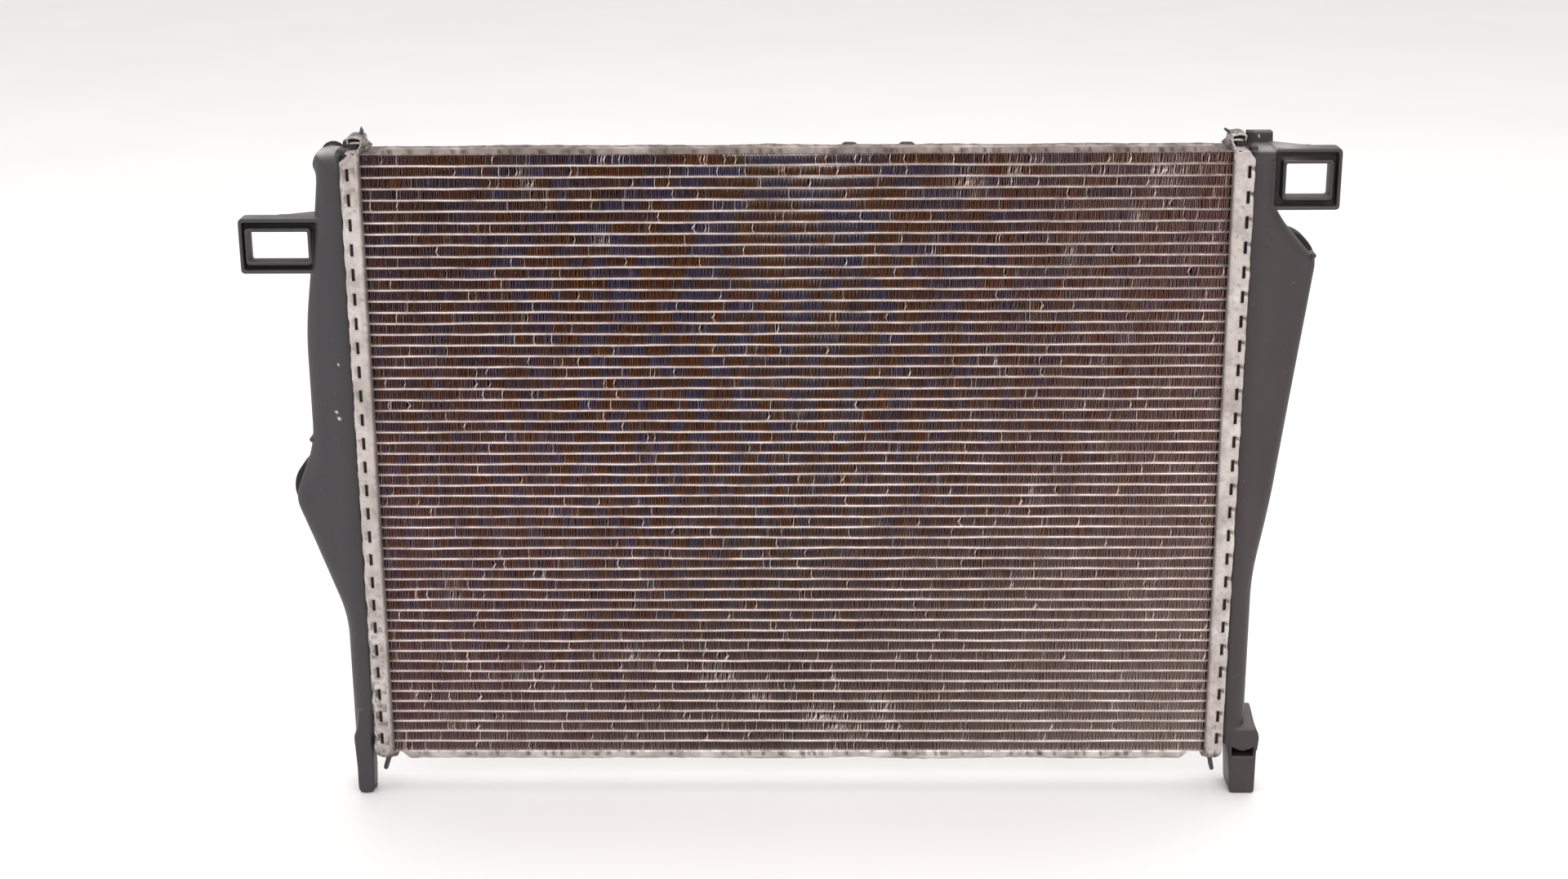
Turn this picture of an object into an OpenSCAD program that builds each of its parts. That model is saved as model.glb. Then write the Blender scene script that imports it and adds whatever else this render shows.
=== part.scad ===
// Crossflow car radiator: a brazed aluminium core with a plastic tank crimped on each side.
// +X is to the right seen from the front, +Y points to the back, +Z is up.
// Every part is drawn around the middle of the core, and place() then moves it so that
// the origin is at the middle of the footprint, on the surface that the two feet stand on.
// Tank shapes are drawn as if on the right, with u = 0 at the header plate and growing
// outwards, and the left-hand parts are mirrored.

/* [Core] */
// Width of the core between the two header plates
core_w = 600; // [560:1:640]
// Depth of the tubes and of the side plates
core_d = 32; // [28:1:34]
// Height of one tube and one fin row together
tube_pitch = 8; // [7.8:0.1:8.2]
// Height of a flat tube
tube_h = 1.8; // [1.6:0.1:2.2]
// Wall of a flat tube
tube_wall = 0.3; // [0.2:0.05:0.4]
// Number of flat tubes
tube_count = 55; // [53:1:55]
// Waves along a fin strip
fin_waves = 16; // [12:2:30]
// Thickness of a fin strip, measured upright
fin_t = 0.5; // [0.4:0.1:0.8]

/* [Header plates] */
// Depth of a header plate
header_d = 44; // [42:1:48]
// Sheet thickness of a header plate
header_t = 1.5; // [1.2:0.1:1.6]
// Height of the walls that hold the tank's foot
header_wall = 13.5; // [13:0.5:15]
// Distance between two crimp slots
slot_pitch = 17.6; // [17:0.2:18]
// Crimp slots in each wall
slot_count = 25; // [21:2:25]
// Length of a crimp slot
slot_l = 8; // [7:0.5:11]
// Width of a crimp slot
slot_w = 2.2; // [1.8:0.1:2.4]

/* [Side plates] */
// Sheet thickness of a side plate
plate_t = 1.2; // [1:0.1:1.5]
// Height of the front flange, with the sheet
flange_h = 7.3; // [6:0.1:8]

/* [Tanks] */
// Wall of a tank
tank_wall = 3; // [2.5:0.1:3.4]
// Depth of a tank outside its foot
tank_d = 35; // [34:0.5:36]
// Outer reach of the straight part of the left tank
left_neck = 34; // [33:0.5:36]
// Outer reach of the left tank at its coolant port
left_bulge = 63.8; // [60:0.2:66]
// Outer reach of the right tank at its coolant port
right_bulge = 62.5; // [60:0.5:66]

/* [Ports] */
// Outer radius of a coolant spigot
port_r = 19; // [18:0.5:20]
// Bore radius of a coolant spigot
port_bore = 16.5; // [14:0.5:17]
// Radius of the collar behind a coolant spigot
collar_r = 24; // [22:0.5:25]
// Radius of the vent boss across the left tank's top
vent_r = 8; // [7.5:0.25:8.5]
// Outer radius of the vent nipple behind it
nipple_r = 6.5; // [6:0.25:7]
// Bore radius of the vent nipple
vent_bore = 4; // [3:0.5:5]

/* [Brackets and feet] */
// Depth of a loop bracket
loop_d = 14; // [12:1:16]
// Height of the core's middle above the surface that the feet stand on
core_z = 257.7; // [256:0.1:262]

/* [Drain] */
// Radius of the drain plug's shaft
plug_r = 3.5; // [3.3:0.1:3.7]
// Radius of the drain plug's head
plug_head_r = 7.6; // [7.5:0.1:8.5]

/* [Hidden] */
$fn = 48;
eps = 0.01;
tubes_per_bank = 5;
fins_per_bank = 4;
fin_count = tube_count + 1;
tube_banks = ceil(tube_count / tubes_per_bank);
fin_banks = ceil(fin_count / fins_per_bank);

half_w = core_w / 2;
fin_h = tube_pitch - tube_h;
fin_d = core_d - 0.6;
fin_wave = (core_w - 2) / fin_waves;
// top of the highest fin row
stack_top = fin_count * tube_pitch / 2 - tube_h / 2;
braze_gap = 0.05;
// how far a tube's end stands out of the header plate, into the tank
tube_end = 3;

// header plate: its half height, its outline's chamfer and the slots' place
header_top = stack_top + 3.2;
corner_u = 9;
corner_z = 6.7;
slot_u = 9;
crimp_in = 1.1;
bend = 2.5;

// side plates: where their front flanges start and end, and the fan cowl's tabs
top_flange = [-290, 292];
bottom_flange = [-295, 289];
flange_slant = 5;
tab_x = [37.5, 77.5];
tab_w = 13;
tab_h = 3;

// end claw: the sheet folded over the tank's end lug, and its ear towards the core
claw_y = [-4, 14];
claw_h = 7.9;
claw_out = 10.9;
claw_hook = 5;
ear = [[-3.5, -1.8], [-6, 2.6]];
tail_gap = 6;
tail_play = 0.6;

// the tank's foot inside the header plate, on the gasket
gasket_t = 1.9;
foot_u = [header_t + gasket_t, slot_u + slot_w / 2];
foot_y = header_d / 2 - header_t - 0.2;
foot_in = core_d / 2 + 0.4;
foot_top = header_top - header_t - 0.5;
foot_end = 4;
lug_out = 9.2;
lug_h = 7.3;

// how far up and down the gaskets' tails reach
left_tail = 239.8;
right_tail = 237.6;
bottom_tail = -246;

// left tank: outline corners as [u, z, rounding], bottom to top
left_top = 221;
left_bottom = -216;
left_corners = [
    [31, left_bottom, 0], [31, -117, 16], [left_bulge, -27.5, 9], [47.3, 14, 14],
    [47.3, 98, 20], [left_neck, 178, 14], [left_neck, left_top, 6]];
// right tank
right_top = 224;
right_bottom = -216;
right_corners = [
    [30.3, right_bottom, 0], [30.3, -88, 16], [40.5, -31, 16], [right_bulge, 146, 5],
    [38, 174, 8], [31, 186, 5], [31, right_top, 3]];
nose_round = 8;

// coolant ports, as [u, z], and how far back their collar and spigot reach
left_port = [43, -26];
right_port = [42, 139];
collar_y = 32;
port_y = 62;
groove_y = 54;
groove_w = 3;
groove_t = 1.2;
lead_in = 1.5;

// vent boss high on the left tank, as [u, z], from its nose to the nipple's end
vent_at = [28, 214.6];
vent_y = [-9, 20];
vent_nose = 3;
nipple_end = 40;

// loop brackets as [u from, u to, z from, z to], and their openings
left_loop = [30, 88.3, 141.4, 179.3];
left_hole = [40.2, 82, 147, 171.1];
right_loop = [28.5, 75.2, 184.3, 226];
right_hole = [37.3, 67.5, 193, 216.3];
loop_y = -14;
loop_rib = 2.4;
loop_rim = 2.3;
loop_recess = 9;
loop_round = 3;
gusset_t = 3;
// level webs behind the loops, as [root u, tip u, rear y]
left_gusset = [32, 60, 13];
right_gusset = [29, 53, 16.5];

// stub on top of the right tank
stub_u = [13.8, 30.8];
stub_y = [9, 17];
stub_top = 235.0;
stub_draft = 0.8;

// feet: front-to-back reach and front outline
left_foot_y = [-20, -2];
peg_root_y = 6;
left_foot = [
    [14.3, -196, 0], [14.3, -240, 0], [14.6, -core_z, 5], [27.4, -core_z, 5],
    [27.4, -243, 0], [29, -233, 4], [29.2, -206, 3], [27.4, -196, 0]];
right_foot_y = [-12, 12];
right_foot = [
    [19, -190, 0], [19, -232, 0], [21, -core_z, 1.5], [38.8, -core_z, 3],
    [40.5, -212, 0], [40.5, -200, 0], [36.5, -191, 0], [28, -188, 0]];
shoulder_u = 32;
shoulder_z = -206;
shoulder_tilt = 52;
latch_slot = [21.6, 38, -230.2, -223];
latch_depth = 14;

// drain plug low on the back of the left tank
drain_at = [22.7, -186];
drain_boss_r = 8.9;
drain_boss_y = 25;
drain_run = 0.05;
// the seal's wire radius, its ring radius, and the radius and depth of its seat
seal_r = 0.85;
seal_ring = 6;
seat_r = 7.1;
seat_depth = 1.5;
plug_head_t = 5;
plug_gap = 0.3;
plug_slot = [1.6, 2.4];
// the bar at the plug's inner end: length, width and thickness
lug_bar = [9.4, 2.4, 3];
key_slack = 0.6;

// footprint of the whole radiator around the core's middle
left_reach = half_w + left_loop[1];
right_reach = half_w + right_loop[1];
mid_x = (left_reach - right_reach) / 2;
mid_y = (header_d / 2 - port_y) / 2;

aluminium = [0.74, 0.71, 0.69];
fin_grey = [0.36, 0.31, 0.29];
charcoal = [0.24, 0.24, 0.25];
rubber_black = [0.09, 0.09, 0.09];

function tube_z(i) = (i - (tube_count - 1) / 2) * tube_pitch;
function fin_z(i) = (i - (fin_count - 1) / 2) * tube_pitch;

// one rounded corner: a short curve that leaves the two sides at the distance cut
function corner(before, at, after, cut, steps = 6) =
    let (to_before = (before - at) / norm(before - at), to_after = (after - at) / norm(after - at),
         from = at + cut * to_before, to = at + cut * to_after)
    [for (k = [0:steps]) let (t = k / steps)
        (1 - t) * (1 - t) * from + 2 * t * (1 - t) * at + t * t * to];

// an outline from corners given as [x, y, rounding]
function rounded(corners) =
    let (n = len(corners), flat = [for (c = corners) [c[0], c[1]]])
    [for (i = [0:n - 1]) each corners[i][2] == 0
        ? [flat[i]]
        : corner(flat[(i + n - 1) % n], flat[i], flat[(i + 1) % n], corners[i][2])];

// a long flat shape with round ends, w wide and h high
function stadium(w, h, steps = 6) =
    [for (side = [0, 1], k = [0:steps]) let (a = 180 * (side + k / steps) - 90)
        [(side == 0 ? 1 : -1) * (w - h) / 2 + h / 2 * cos(a), h / 2 * sin(a)]];

module place() {
    translate([mid_x, mid_y, core_z]) children();
}

// parts drawn with u outwards from the right header plate
module on_right() {
    place() translate([half_w, 0, 0]) children();
}

module on_left() {
    place() mirror([1, 0, 0]) translate([half_w, 0, 0]) children();
}

// a flat shape in the X-Z plane, from y0 back to y1
module slab_y(y0, y1) {
    translate([0, y1, 0]) rotate([90, 0, 0]) linear_extrude(y1 - y0) children();
}

// a flat shape in the Y-Z plane, from x0 out to x1
module slab_x(x0, x1) {
    translate([x0, 0, 0]) rotate([90, 0, 90]) linear_extrude(x1 - x0) children();
}

module box(low, high) {
    translate(low) cube(high - low);
}

module rounded_rect(r, round) {
    polygon(rounded([[r[0], r[2], round], [r[1], r[2], round],
                     [r[1], r[3], round], [r[0], r[3], round]]));
}

// a cylinder along Y, from y0 back to y1, with its axis at [u, z]
module rod_y(at, y0, y1, r) {
    translate([at[0], y0, at[1]]) rotate([-90, 0, 0]) cylinder(r = r, h = y1 - y0);
}

// ---------- core ----------

module flat_tube() {
    reach = half_w + header_t + tube_end;
    slab_x(-reach, reach) difference() {
        polygon(stadium(core_d, tube_h));
        polygon(stadium(core_d - 2 * tube_wall, tube_h - 2 * tube_wall));
    }
}

module tube_bank(bank) {
    first = (bank - 1) * tubes_per_bank;
    last = min(first + tubes_per_bank, tube_count) - 1;
    color(aluminium) place()
        for (i = [first:last]) translate([0, 0, tube_z(i)]) flat_tube();
}

// the wave's upper line: a flat crest, a leg down, a flat trough and a leg up
function wave_line(drop) =
    let (quarter = fin_wave / 4)
    [for (k = [0:4 * fin_waves])
        [(k - 2 * fin_waves) * quarter, (k % 4 < 2 ? fin_h / 2 : -fin_h / 2 + fin_t) - drop]];

module fin_strip() {
    line = wave_line(0);
    under = wave_line(fin_t);
    slab_y(-fin_d / 2, fin_d / 2)
        polygon(concat(line, [for (i = [len(under) - 1:-1:0]) under[i]]));
}

module fin_bank(bank) {
    first = (bank - 1) * fins_per_bank;
    last = min(first + fins_per_bank, fin_count) - 1;
    color(fin_grey) place()
        for (i = [first:last]) translate([0, 0, fin_z(i)]) fin_strip();
}

// ---------- header plates ----------

// the channel: a floor at the core and two walls that reach out past the tank's foot
module header_channel() {
    d = header_d / 2;
    translate([0, 0, -header_top]) linear_extrude(2 * header_top) polygon(rounded([
        [0, -d, bend], [header_wall, -d, 0], [header_wall, -d + header_t, 0],
        [header_t, -d + header_t, 0], [header_t, d - header_t, 0],
        [header_wall, d - header_t, 0], [header_wall, d, 0], [0, d, bend]]));
}

// the wall's outer corner is cut away at the top and the bottom
module corner_cuts() {
    for (s = [-1, 1])
        slab_y(-header_d, header_d) polygon([
            [corner_u, s * (header_top + eps)], [header_wall + eps, s * (header_top - corner_z)],
            [header_wall + 1, s * (header_top + 1)]]);
}

module end_walls() {
    for (s = [-1, 1]) let (z = s > 0 ? header_top - header_t : -header_top) {
        box([0, -header_d / 2 + bend, z], [foot_u[1], claw_y[0] - 1, z + header_t]);
        box([0, claw_y[1] + 1, z], [foot_u[1], header_d / 2 - bend, z + header_t]);
    }
}

// the header's end tongue, folded over the tank's end lug, with a side ear
module claw() {
    rest = header_top - 1;
    top = header_top + claw_h;
    inner = claw_out - header_t;
    slab_y(claw_y[0], claw_y[1]) polygon([
        [0, rest], [0, top], [claw_out, top], [claw_out, top - claw_hook],
        [inner, top - claw_hook], [inner, top - header_t], [header_t, top - header_t],
        [header_t, rest]]);
    slab_y(claw_y[0], claw_y[0] + header_t) polygon([
        [eps, header_top + ear[0][1]], [ear[0][0], header_top + ear[0][1]],
        [ear[1][0], header_top + ear[1][1]], [eps, top]]);
}

module header_plate() {
    difference() {
        union() {
            header_channel();
            end_walls();
            claw();
            mirror([0, 0, 1]) claw();
        }
        corner_cuts();
        for (i = [0:tube_count - 1])
            translate([0, 0, tube_z(i)]) slab_x(-1, header_t + 1)
                polygon(stadium(core_d + 2 * braze_gap, tube_h + 2 * braze_gap));
        for (i = [0:slot_count - 1])
            let (z = (i - (slot_count - 1) / 2) * slot_pitch)
            box([slot_u - slot_w / 2, -header_d, z - slot_l / 2],
                [slot_u + slot_w / 2, header_d, z + slot_l / 2]);
        for (s = [-1, 1])
            box([header_t, claw_y[0] + tail_gap, s * (header_top + claw_h) - 3],
                [header_t + gasket_t, claw_y[0] + 2 * tail_gap, s * (header_top + claw_h) + 3]);
    }
    crimps();
}

// the wall pressed in beside each slot, over the tank's foot
module crimps() {
    d = header_d / 2 - header_t;
    for (i = [0:slot_count - 1], s = [-1, 1])
        let (z = (i - (slot_count - 1) / 2) * slot_pitch)
        slab_x(foot_u[1] + 0.1, header_wall) polygon([
            [s * (d + 0.5), z - slot_l / 2], [s * (d - crimp_in), z - slot_l / 3],
            [s * (d - crimp_in), z + slot_l / 3], [s * (d + 0.5), z + slot_l / 2]]);
}

module header_left() {
    color(aluminium) on_left() header_plate();
}

module header_right() {
    color(aluminium) on_right() header_plate();
}

// ---------- side plates ----------

// sheet on the outermost fin row, with a front flange whose ends are cut at a slant
module side_plate(flange_left, flange_right) {
    box([-half_w + eps, -core_d / 2, stack_top], [half_w - eps, core_d / 2, stack_top + plate_t]);
    slab_y(-core_d / 2, -core_d / 2 + plate_t) polygon([
        [flange_left, stack_top + eps], [flange_right, stack_top + eps],
        [flange_right - flange_slant, stack_top + flange_h],
        [flange_left + flange_slant, stack_top + flange_h]]);
}

// two arched tabs on the rear edge, where a fan cowl hooks on
module cowl_tabs() {
    foot = stack_top + plate_t - eps;
    for (x = tab_x) translate([x, 0, 0])
        slab_y(core_d / 2 - plate_t, core_d / 2) polygon(rounded([
            [-tab_w / 2, foot, 0], [tab_w / 2, foot, 0],
            [tab_w / 2, foot + tab_h, tab_h], [-tab_w / 2, foot + tab_h, tab_h]]));
}

module side_plate_top() {
    color(aluminium) place() {
        side_plate(top_flange[0], top_flange[1]);
        cowl_tabs();
    }
}

module side_plate_bottom() {
    color(aluminium) place() mirror([0, 0, 1])
        side_plate(bottom_flange[0], bottom_flange[1]);
}

// ---------- gaskets ----------

// a rubber ring under the tank's foot; its two ends stick out through the claws as tails
module gasket(top_tail) {
    y = claw_y[0] + 1.5 * tail_gap;
    w = tail_gap / 2 - tail_play;
    thin = gasket_t / 2 - 0.1;
    u = header_t + gasket_t / 2;
    slab_x(header_t, foot_u[0]) difference() {
        square([2 * foot_y, 2 * foot_top], center = true);
        square([2 * (foot_in + 0.1), 2 * (foot_top - foot_end)], center = true);
    }
    box([u - thin, y - w, foot_top - 1], [u + thin, y + w, top_tail]);
    box([u - thin, y - w, bottom_tail], [u + thin, y + w, 1 - foot_top]);
}

module gasket_left() {
    color(rubber_black) on_left() gasket(left_tail);
}

module gasket_right() {
    color(rubber_black) on_right() gasket(right_tail);
}

// ---------- tanks ----------

// the outer wall's solid shape: its outline seen from the front, with a rounded nose
module tank_form(corners, reach) {
    bottom = corners[0][1];
    top = corners[len(corners) - 1][1];
    intersection() {
        slab_y(-tank_d / 2, tank_d / 2) polygon(rounded(concat(
            [[foot_u[1] - 1, bottom, 0]], corners, [[foot_u[1] - 1, top, 0]])));
        translate([0, 0, bottom - 1]) linear_extrude(top - bottom + 2) polygon(rounded([
            [0, -tank_d / 2, 0], [reach, -tank_d / 2, nose_round],
            [reach, tank_d / 2, nose_round], [0, tank_d / 2, 0]]));
    }
}

// the space inside: the same outline, smaller by the wall
module tank_space(corners) {
    n = len(corners);
    bottom = corners[0][1] + tank_wall;
    top = corners[n - 1][1] - tank_wall;
    inner = [for (i = [0:n - 1])
        [corners[i][0] - tank_wall, i == 0 ? bottom : i == n - 1 ? top : corners[i][1],
         corners[i][2] / 2]];
    d = tank_d / 2 - tank_wall;
    slab_y(-d, d) polygon(rounded(concat([[foot_u[1] - 2, bottom, 0]], inner,
                                         [[foot_u[1] - 2, top, 0]])));
    box([foot_u[0] - 1, -foot_in, foot_end - foot_top],
        [foot_u[1] - 1, foot_in, foot_top - foot_end]);
}

module tank_foot() {
    box([foot_u[0], -foot_y, -foot_top], [foot_u[1], foot_y, foot_top]);
    for (s = [0, 1]) mirror([0, 0, s])
        box([foot_u[0], claw_y[0] + 1, foot_top - 1], [lug_out, claw_y[1] - 1, foot_top + lug_h]);
}

// collar and spigot that point back, with a groove for a seal near the mouth
module port_outside(at) {
    rod_y(at, tank_d / 2 - tank_wall, collar_y, collar_r);
    rod_y(at, collar_y - 1, groove_y, port_r);
    rod_y(at, groove_y - 1, groove_y + groove_w + 1, port_r - groove_t);
    rod_y(at, groove_y + groove_w, port_y - lead_in, port_r);
    translate([at[0], port_y - lead_in, at[1]]) rotate([-90, 0, 0])
        cylinder(r1 = port_r, r2 = port_r - lead_in / 2, h = lead_in);
}

module port_hole(at) {
    rod_y(at, 0, port_y + 1, port_bore);
}

module loop_bracket(loop, hole) {
    rib = [loop[0] - 5, loop[1] - loop_rib, loop[2] + loop_rib, loop[3] - loop_rib - 0.6];
    rim = [hole[0] - loop_rim, hole[1] + loop_rim, hole[2] - loop_rim, hole[3] + loop_rim];
    difference() {
        slab_y(loop_y, loop_y + loop_d) rounded_rect(loop, loop_round);
        slab_y(loop_y - 1, loop_y + loop_recess) difference() {
            rounded_rect(rib, loop_round / 2);
            rounded_rect(rim, loop_round);
        }
        slab_y(loop_y - 1, loop_y + loop_d + 1) rounded_rect(hole, 0.8);
    }
}

// level web from the loop's top back along the tank
module loop_gusset(loop, web) {
    translate([0, 0, loop[3] - gusset_t]) linear_extrude(gusset_t) polygon([
        [web[0], loop_y + 2], [web[1], loop_y + loop_d - 3], [web[1], loop_y + loop_d],
        [web[0], web[2]]]);
}

module drain_boss() {
    rod_y(drain_at, tank_d / 2 - tank_wall, drain_boss_y, drain_boss_r);
}

// the plug's bore, the seat of its seal, and the keyway that its bar passes when open
module drain_hole() {
    rod_y(drain_at, 0, drain_boss_y + 1, plug_r + drain_run);
    rod_y(drain_at, drain_boss_y - seat_depth, drain_boss_y + 1, seat_r);
    box([drain_at[0] - (lug_bar[1] + key_slack) / 2, 0, drain_at[1] - (lug_bar[0] + key_slack) / 2],
        [drain_at[0] + (lug_bar[1] + key_slack) / 2, drain_boss_y - 1,
         drain_at[1] + (lug_bar[0] + key_slack) / 2]);
}

module vent_outside() {
    rod_y(vent_at, vent_y[0] + vent_nose, vent_y[1], vent_r);
    translate([vent_at[0], vent_y[0], vent_at[1]]) rotate([-90, 0, 0])
        cylinder(r1 = vent_r - vent_nose, r2 = vent_r, h = vent_nose);
    rod_y(vent_at, vent_y[1] - 1, nipple_end, nipple_r);
}

module foot_left_outside() {
    slab_y(left_foot_y[0], left_foot_y[1]) polygon(rounded(left_foot));
    box([left_foot[0][0] + 0.3, -tank_d / 2, left_bottom - 1],
        [left_foot[3][0] - 0.4, peg_root_y, left_bottom + 8]);
}

module foot_right_outside() {
    difference() {
        slab_y(right_foot_y[0], right_foot_y[1]) polygon(rounded(right_foot));
        translate([0, right_foot_y[0], shoulder_z]) rotate([shoulder_tilt, 0, 0])
            box([shoulder_u, -40, 0], [60, 40, 40]);
        slab_y(right_foot_y[0] - 1, right_foot_y[0] + latch_depth) rounded_rect(latch_slot, 0.5);
    }
}

module top_stub() {
    slab_y(stub_y[0], stub_y[1]) polygon([
        [stub_u[0] - stub_draft, right_top - 2], [stub_u[1] + stub_draft, right_top - 2],
        [stub_u[1], stub_top], [stub_u[0], stub_top]]);
}

module tank_left() {
    color(charcoal) on_left() difference() {
        union() {
            tank_form(left_corners, left_bulge);
            tank_foot();
            port_outside(left_port);
            vent_outside();
            loop_bracket(left_loop, left_hole);
            loop_gusset(left_loop, left_gusset);
            foot_left_outside();
            drain_boss();
        }
        tank_space(left_corners);
        port_hole(left_port);
        rod_y(vent_at, 0, nipple_end + 1, vent_bore);
        drain_hole();
    }
}

module tank_right() {
    color(charcoal) on_right() difference() {
        union() {
            tank_form(right_corners, right_bulge);
            tank_foot();
            port_outside(right_port);
            loop_bracket(right_loop, right_hole);
            loop_gusset(right_loop, right_gusset);
            foot_right_outside();
            top_stub();
        }
        tank_space(right_corners);
        port_hole(right_port);
    }
}

// ---------- drain ----------

// quarter-turn plug: the cross bar at its inner end locks behind the boss
module drain_plug() {
    inner_end = tank_d / 2 - tank_wall - lug_bar[2] - plug_gap;
    head_y = drain_boss_y + plug_gap;
    color(charcoal) on_left() difference() {
        union() {
            rod_y(drain_at, inner_end, head_y + 1, plug_r);
            rod_y(drain_at, head_y, head_y + plug_head_t, plug_head_r);
            box([drain_at[0] - lug_bar[0] / 2, inner_end, drain_at[1] - lug_bar[1] / 2],
                [drain_at[0] + lug_bar[0] / 2, inner_end + lug_bar[2], drain_at[1] + lug_bar[1] / 2]);
        }
        box([drain_at[0] - plug_head_r - 1, head_y + plug_head_t - plug_slot[1],
             drain_at[1] - plug_slot[0] / 2],
            [drain_at[0] + plug_head_r + 1, head_y + plug_head_t + 1,
             drain_at[1] + plug_slot[0] / 2]);
    }
}

module drain_seal() {
    y = drain_boss_y - seat_depth + seal_r + 2 * eps;
    color(rubber_black) on_left() translate([drain_at[0], y, drain_at[1]])
        rotate([90, 0, 0]) rotate_extrude() translate([seal_ring, 0]) circle(r = seal_r);
}

for (b = [1:tube_banks]) tube_bank(b);
for (b = [1:fin_banks]) fin_bank(b);
header_left();
header_right();
side_plate_top();
side_plate_bottom();
gasket_left();
gasket_right();
tank_left();
tank_right();
drain_plug();
drain_seal();
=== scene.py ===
"""A used car radiator, standing on its feet: the looks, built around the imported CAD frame.

Shapes are worked out in millimetres around the middle of the core, with +X to the right seen from the front,
+Y to the back and +Z up. A tank, its header plate and all that belongs to them are drawn in (u, y, z), with
u = 0 at the header plate's face and growing outwards, and side = -1 or 1 puts them on the left or the right.
"""
import math

import bpy
import numpy as np
from mathutils import Matrix, Vector


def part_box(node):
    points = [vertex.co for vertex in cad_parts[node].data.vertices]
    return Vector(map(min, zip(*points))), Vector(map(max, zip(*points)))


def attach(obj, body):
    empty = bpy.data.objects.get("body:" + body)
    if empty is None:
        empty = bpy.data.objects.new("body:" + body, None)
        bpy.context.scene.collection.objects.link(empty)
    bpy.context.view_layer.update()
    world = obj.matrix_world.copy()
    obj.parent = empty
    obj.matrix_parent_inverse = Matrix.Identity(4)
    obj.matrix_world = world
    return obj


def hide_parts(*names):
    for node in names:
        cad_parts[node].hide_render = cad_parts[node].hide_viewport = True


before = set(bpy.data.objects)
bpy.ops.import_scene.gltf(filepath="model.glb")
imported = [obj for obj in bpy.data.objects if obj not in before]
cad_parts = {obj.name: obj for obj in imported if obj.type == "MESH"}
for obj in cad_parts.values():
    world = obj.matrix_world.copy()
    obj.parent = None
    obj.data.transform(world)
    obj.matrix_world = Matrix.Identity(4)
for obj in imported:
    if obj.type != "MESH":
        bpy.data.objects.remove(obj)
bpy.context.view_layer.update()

# ---------- dimensions, from the frame ----------

MM = 0.001
TUBE_BANKS = 11
FIN_BANKS = 14
TUBES_PER_BANK = 5
FINS_PER_BANK = 4
TUBE_H = 1.8
TUBE_END = 4.5                       # a tube's length beyond the header plate's face

tube_low, tube_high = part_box("tube_bank_6")
CENTRE = (tube_low + tube_high) / 2
HALF_W = (tube_high.x - CENTRE.x) / MM - TUBE_END
CORE_D = (tube_high.y - tube_low.y) / MM
PITCH = ((tube_high.z - tube_low.z) / MM - TUBE_H) / (TUBES_PER_BANK - 1)
TUBE_COUNT = TUBE_BANKS * TUBES_PER_BANK
STACK_TOP = (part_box("side_plate_top")[0].z - CENTRE.z) / MM

FIN_LEG = 1.25                       # distance between two legs of a fin strip
FIN_T = 0.12
FIN_DEPTH = CORE_D - 0.8

HEADER_D = 44.0
HEADER_T = 1.5
HEADER_WALL = 13.5                   # height of its front and rear walls
HEADER_BEND = 2.5
HEADER_TOP = STACK_TOP + 3.2
WALL_START = 2.7
SLOT_W = 2.2
SLOT_L = 8.6
SLOT_U = 9.0                         # middle of a slot, and its two long edges
SLOT_IN = SLOT_U - SLOT_W / 2
SLOT_OUT = SLOT_U + SLOT_W / 2
SLOT_PITCH = 17.6
SLOT_COUNT = 25

TANK_D = 35.0
LEFT_PORT = (43.0, -26.0)            # (u, z) of what points to the back
RIGHT_PORT = (42.0, 139.0)
VENT = (28, 214.6)
DRAIN = (22.7, -186)


# ---------- meshes ----------

def to_row(points):
    """Millimetres around the core's middle become metres in the row frame."""
    return np.asarray(points, float) * MM + np.array(CENTRE)


def place(points, side):
    """(u, y, z) on one side becomes (x, y, z)."""
    out = np.array(points, float)
    out[:, 0] = side * (HALF_W + out[:, 0])
    return out


def add_object(name, data):
    made = bpy.data.objects.new(name, data)
    bpy.context.scene.collection.objects.link(made)
    return made


def new_piece(name, points, quads, look, nodes, polygons=(), layers=None):
    """A mesh object from points in millimetres, quads as an array and longer polygons as lists."""
    mesh = bpy.data.meshes.new(name)
    quads = np.asarray(quads, np.int32).reshape(-1, 4)
    corners = np.concatenate([quads.ravel()] + [np.asarray(p, np.int32) for p in polygons])
    sizes = np.concatenate([np.full(len(quads), 4), [len(p) for p in polygons]]).astype(np.int32)
    starts = np.concatenate([[0], np.cumsum(sizes)[:-1]]).astype(np.int32)
    mesh.vertices.add(len(points))
    mesh.vertices.foreach_set("co", to_row(points).astype(np.float32).ravel())
    mesh.loops.add(len(corners))
    mesh.loops.foreach_set("vertex_index", corners.astype(np.int32))
    mesh.polygons.add(len(sizes))
    mesh.polygons.foreach_set("loop_start", starts)
    mesh.polygons.foreach_set("use_smooth", np.ones(len(sizes), bool))
    mesh.update(calc_edges=True)
    mesh.validate()
    for key, values in (layers or {}).items():
        layer = mesh.attributes.new(key, "FLOAT", "POINT")
        layer.data.foreach_set("value", np.asarray(values, np.float32))
    material, slot = look
    mesh.materials.append(material)
    piece = add_object(name, mesh)
    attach(piece, "radiator")
    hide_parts(*nodes)


def grid_quads(rows, columns, wrap_columns=False, offset=0):
    """Quads of a grid of points stored row by row."""
    last = columns if wrap_columns else columns - 1
    i, j = np.meshgrid(np.arange(rows - 1), np.arange(last), indexing="ij")
    k = (j + 1) % columns
    quads = np.stack([i * columns + j, i * columns + k, (i + 1) * columns + k, (i + 1) * columns + j], -1)
    return quads.reshape(-1, 4) + offset


def unit(values):
    """Held between 0 and 1."""
    return np.clip(values, 0, 1)


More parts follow.
